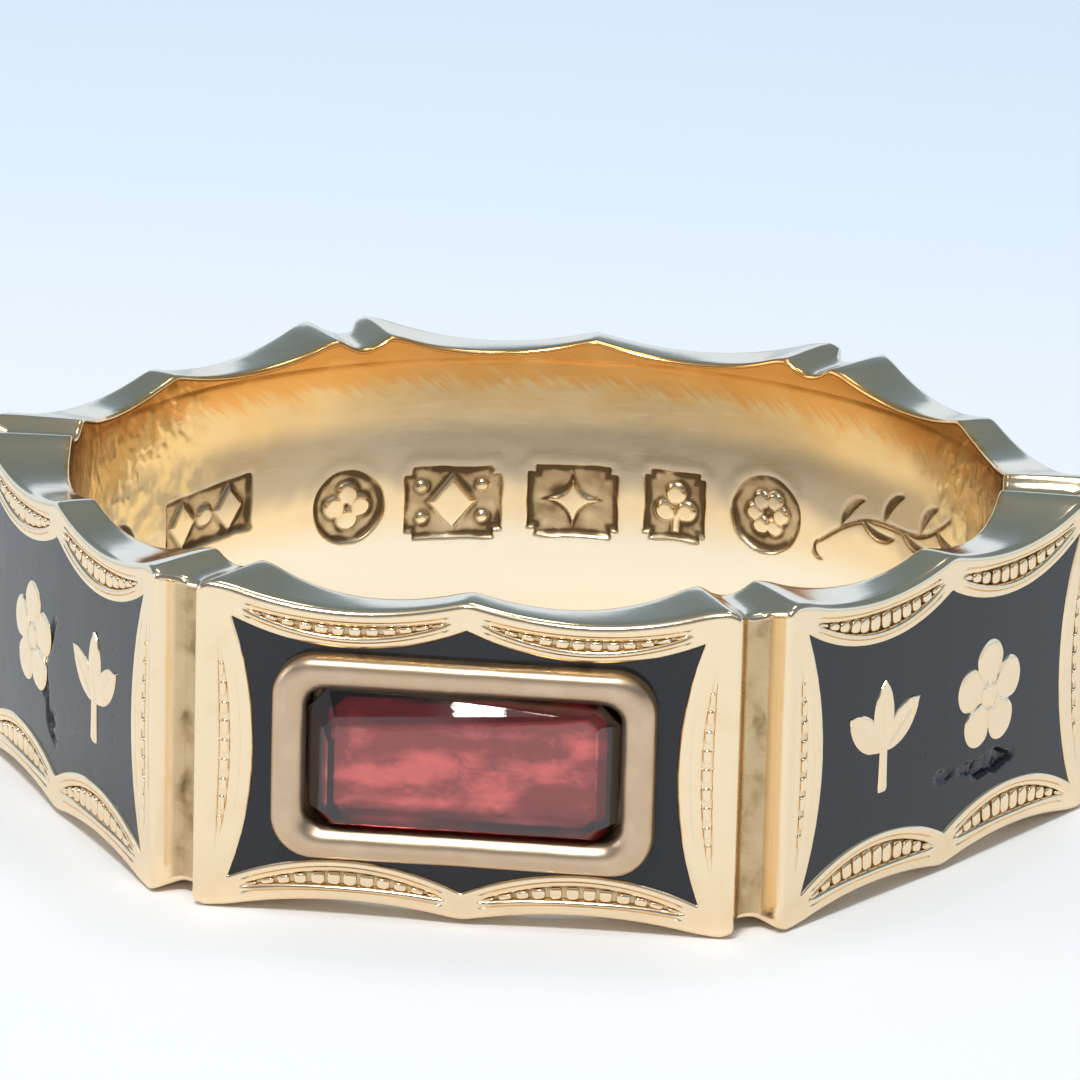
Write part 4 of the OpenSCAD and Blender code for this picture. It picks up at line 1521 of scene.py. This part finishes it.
class RING_OT_marks(bpy.types.Operator):
    """Make the strip of the bore that carries the punched marks and the engraved spray"""

    bl_idname = "ring.marks"
    bl_label = "Punched marks"

    def execute(self, context):
        ring = ring_of(context)
        solid, hollow = marks_strip(ring)
        gold = bpy.data.materials["worn gold"]
        make_piece("bore_marks", [solid], gold, ["gold_band"], {"hollow": hollow}, crease=80)
        return {"FINISHED"}


class RING_OT_beads(bpy.types.Operator):
    """Make the rows of beads in the lunettes' channels"""

    bl_idname = "ring.beads"
    bl_label = "Beads"

    def execute(self, context):
        ring = ring_of(context)
        gold = worn_gold(ring.finish, "bead gold", hollows=False)
        for k in range(PANELS):
            make_piece(f"beads_{k}", lunette_beads(Panel(ring, k)), gold, ["gold_band"], crease=180)
        return {"FINISHED"}


class RING_OT_enamel(bpy.types.Operator):
    """Make the six fields of black enamel"""

    bl_idname = "ring.enamel"
    bl_label = "Enamel"

    def execute(self, context):
        ring = ring_of(context)
        enamel = fired_enamel(ring.finish)
        make_piece("enamel_round_stone", [stone_enamel(ring)], enamel, ["enamel_stone_panel"])
        for k in range(1, PANELS):
            solid = enamel_slab(Panel(ring, k))
            make_piece(f"enamel_field_{k}", [solid], enamel, [f"enamel_panel_{k}"])
        return {"FINISHED"}


class RING_OT_ornaments(bpy.types.Operator):
    """Make the flower and the sprig that stand in each plain field"""

    bl_idname = "ring.ornaments"
    bl_label = "Ornaments"

    def execute(self, context):
        ring = ring_of(context)
        gold = worn_gold(ring.finish, "satin gold", hollows=False)
        for k in range(1, PANELS):
            make_piece(f"ornaments_{k}", ornament_solids(Panel(ring, k)), gold, ["gold_band"])
        return {"FINISHED"}


class RING_OT_bezel(bpy.types.Operator):
    """Make the bezel round the stone"""

    bl_idname = "ring.bezel"
    bl_label = "Bezel"

    def execute(self, context):
        ring = ring_of(context)
        points = bezel_points(ring)
        solid = (points.reshape(-1, 3), [quad_grid(*points.shape[:2], wrap_rows=True, wrap_columns=True)])
        gold = worn_gold(ring.finish, "bezel gold", hollows=True, dulled=0.85)
        # The bezel's painted shade, carried in its hollow marks
        hollow = np.broadcast_to(BEZEL_PROFILE[:, 2:] * BEZEL_SHADE, points.shape[:2])
        make_piece("bezel", [solid], gold, ["gold_band"], {"hollow": hollow}, crease=50)
        return {"FINISHED"}


class RING_OT_stone(bpy.types.Operator):
    """Make the garnet with the foil on its back"""

    bl_idname = "ring.stone"
    bl_label = "Garnet and foil"

    def execute(self, context):
        ring = ring_of(context)
        points, glow, foiled = stone_points(ring)
        rows, columns = points.shape[:2]
        window = np.broadcast_to((np.arange(rows) == rows - 1)[:, None], (rows, columns))
        stone = make_piece(
            "cut_garnet", [rings_solid(points)], cut_garnet(ring.finish), ["garnet"],
            {"window": window, "glow": glow}, crease=12,
        )
        stone.data.materials.append(red_foil())
        backs = np.zeros(len(stone.data.polygons), dtype=np.int32)
        backs[:foiled * columns] = 1
        backs[(rows - 1) * columns] = 1
        stone.data.polygons.foreach_set("material_index", backs)
        return {"FINISHED"}


class RING_OT_stage(bpy.types.Operator):
    """Make the pale floor, the soft lights and the camera"""

    bl_idname = "ring.stage"
    bl_label = "Stage"

    def execute(self, context):
        make_floor()
        make_world(context.scene)
        make_lights()
        make_camera(context.scene)
        context.scene.view_settings.view_transform = "Standard"
        return {"FINISHED"}


# The floor's half width, lines each way, and distance below the part
FLOOR_HALF, FLOOR_LINES, FLOOR_DROP = 1.2, 9, 0.002 * MM


def make_floor():
    """The floor: a wide flat grid just under the lower peaks."""
    line = np.linspace(-FLOOR_HALF, FLOOR_HALF, FLOOR_LINES)
    x, y = np.meshgrid(line, line)
    points = np.stack([x, y, np.full_like(x, CAD_BOX[0].z - FLOOR_DROP)], axis=-1)
    mesh = bpy.data.meshes.new("floor")
    mesh.from_pydata(points.reshape(-1, 3).tolist(), [], quad_grid(FLOOR_LINES, FLOOR_LINES).tolist())
    mesh.materials.append(pale_floor())
    floor = bpy.data.objects.new("floor", mesh)
    bpy.context.scene.collection.objects.link(floor)


# The studio's light by the height of its direction, from level to overhead, behind the ring and before it
LIGHT_BEHIND = (
    (0.0, (0.75, 0.87, 1.0)),
    (0.268, (0.8, 1.02, 1.35)),
    (0.305, (0.22, 0.32, 0.44)),
    (0.5, (0.17, 0.24, 0.29)),
    (1.0, (0.25, 0.29, 0.32)),
)
LIGHT_BEFORE = (
    (0.0, (0.85, 0.88, 0.93)),
    (0.22, (0.7, 0.73, 0.78)),
    (0.36, (0.2, 0.22, 0.24)),
    (0.72, (0.2, 0.22, 0.24)),
    (0.84, (0.7, 0.74, 0.78)),
    (0.95, (0.7, 0.74, 0.78)),
    (1.0, (0.3, 0.33, 0.35)),
)


def make_world(scene):
    """The studio's light: a pale backdrop behind the ring, dim above, and white before it and overhead."""
    world = bpy.data.worlds.new("studio")
    world.use_nodes = True
    studio = Nodes(world.node_tree)
    _, y, z = studio.split(studio.node("ShaderNodeTexCoord", output="Generated"))
    behind = studio.node("ShaderNodeValToRGB", {"stops": LIGHT_BEHIND}, {0: z})
    before = studio.node("ShaderNodeValToRGB", {"stops": LIGHT_BEFORE}, {0: z})
    background = next(n for n in world.node_tree.nodes if n.type == "BACKGROUND")
    world.node_tree.links.new(studio.mix(y.between(-0.3, 0.2), before, behind).socket, background.inputs[0])
    scene.world = world


# Area lights: name, place from the ring's middle and width and depth in millimetres, watts and colour
LIGHTS = (
    ("key", (-40, -200, 310), 70, 70, 0.8, (1.0, 0.99, 0.97)),
    ("back", (30, 150, 330), 90, 90, 0.16, (1.0, 0.99, 0.97)),
    ("side", (-320, -80, 150), 150, 150, 0.14, (0.97, 0.98, 1.0)),
    ("small", (60, -80, 320), 22, 22, 0.05, (1.0, 1.0, 1.0)),
)


def make_lights():
    """Soft area lights that face the ring."""
    for name, spot, width, depth, watts, shade in LIGHTS:
        light = bpy.data.lights.new(name, "AREA")
        light.shape = "RECTANGLE"
        light.size, light.size_y = width * MM, depth * MM
        light.energy = watts
        light.color = shade
        lamp = bpy.data.objects.new(name, light)
        bpy.context.scene.collection.objects.link(lamp)
        spot = np.array(spot) * MM
        back = spot / np.linalg.norm(spot)
        right = np.cross([0, 0, 1], back)
        right = right / np.linalg.norm(right)
        axes = np.stack([right, np.cross(back, right), back], axis=1)
        lamp.matrix_world = Matrix.Translation(spot) @ Matrix(axes.tolist()).to_4x4()


# The camera's place round the ring's middle, its shift to the right and up, and its focal length in
# millimetres
CAMERA_DISTANCE = 150 * MM
CAMERA_RIGHT, CAMERA_UP = 0.1 * MM, 1.3 * MM
CAMERA_AZIMUTH, CAMERA_ELEVATION, CAMERA_ROLL = math.radians(6.95), math.radians(16.4), math.radians(1.45)
CAMERA_LENS = 269.5


def make_camera(scene):
    """The camera before the stone and above it, rolled a little, looking past the ring's middle."""
    ca, sa = math.cos(CAMERA_AZIMUTH), math.sin(CAMERA_AZIMUTH)
    ce, se = math.cos(CAMERA_ELEVATION), math.sin(CAMERA_ELEVATION)
    right = np.array([ca, sa, 0])
    back = np.array([sa * ce, -ca * ce, se])
    up = np.cross(back, right)
    spot = back * CAMERA_DISTANCE + right * CAMERA_RIGHT + up * CAMERA_UP
    cr, sr = math.cos(CAMERA_ROLL), math.sin(CAMERA_ROLL)
    axes = np.stack([right * cr + up * sr, up * cr - right * sr, back], axis=1)
    data = bpy.data.cameras.new("camera")
    data.lens = CAMERA_LENS
    data.clip_start = 5 * MM
    data.clip_end = 10
    camera = bpy.data.objects.new("camera", data)
    scene.collection.objects.link(camera)
    camera.matrix_world = Matrix.Translation(spot) @ Matrix(axes.tolist()).to_4x4()
    scene.camera = camera


OPERATORS = (
    RING_OT_band,
    RING_OT_marks,
    RING_OT_beads,
    RING_OT_enamel,
    RING_OT_ornaments,
    RING_OT_bezel,
    RING_OT_stone,
    RING_OT_stage,
)


class RING_PT_panel(bpy.types.Panel):
    """Lists the ring's settings and its pieces"""

    bl_idname = "RING_PT_panel"
    bl_label = "Mourning ring"
    bl_space_type = "VIEW_3D"
    bl_region_type = "UI"
    bl_category = "Ring"

    def draw(self, context):
        ring = ring_of(context)
        for group in (ring.band, ring.border, ring.ornament, ring.bezel, ring.finish):
            box = self.layout.box()
            for name in group.__annotations__:
                box.prop(group, name)
        for operator in OPERATORS:
            self.layout.operator(operator.bl_idname)


CLASSES = (RingBand, RingBorder, RingOrnament, RingBezel, RingFinish, MourningRing, *OPERATORS, RING_PT_panel)


def register():
    """Adds the ring's classes and settings."""
    for made in CLASSES:
        bpy.utils.register_class(made)
    bpy.types.Scene.mourning_ring = bpy.props.PointerProperty(type=MourningRing)


def unregister():
    """Takes them away again."""
    del bpy.types.Scene.mourning_ring
    for made in reversed(CLASSES):
        bpy.utils.unregister_class(made)


def main():
    """Makes every piece."""
    register()
    for operator in OPERATORS:
        family, name = operator.bl_idname.split(".")
        getattr(getattr(bpy.ops, family), name)()


if __name__ == "__main__":
    main()
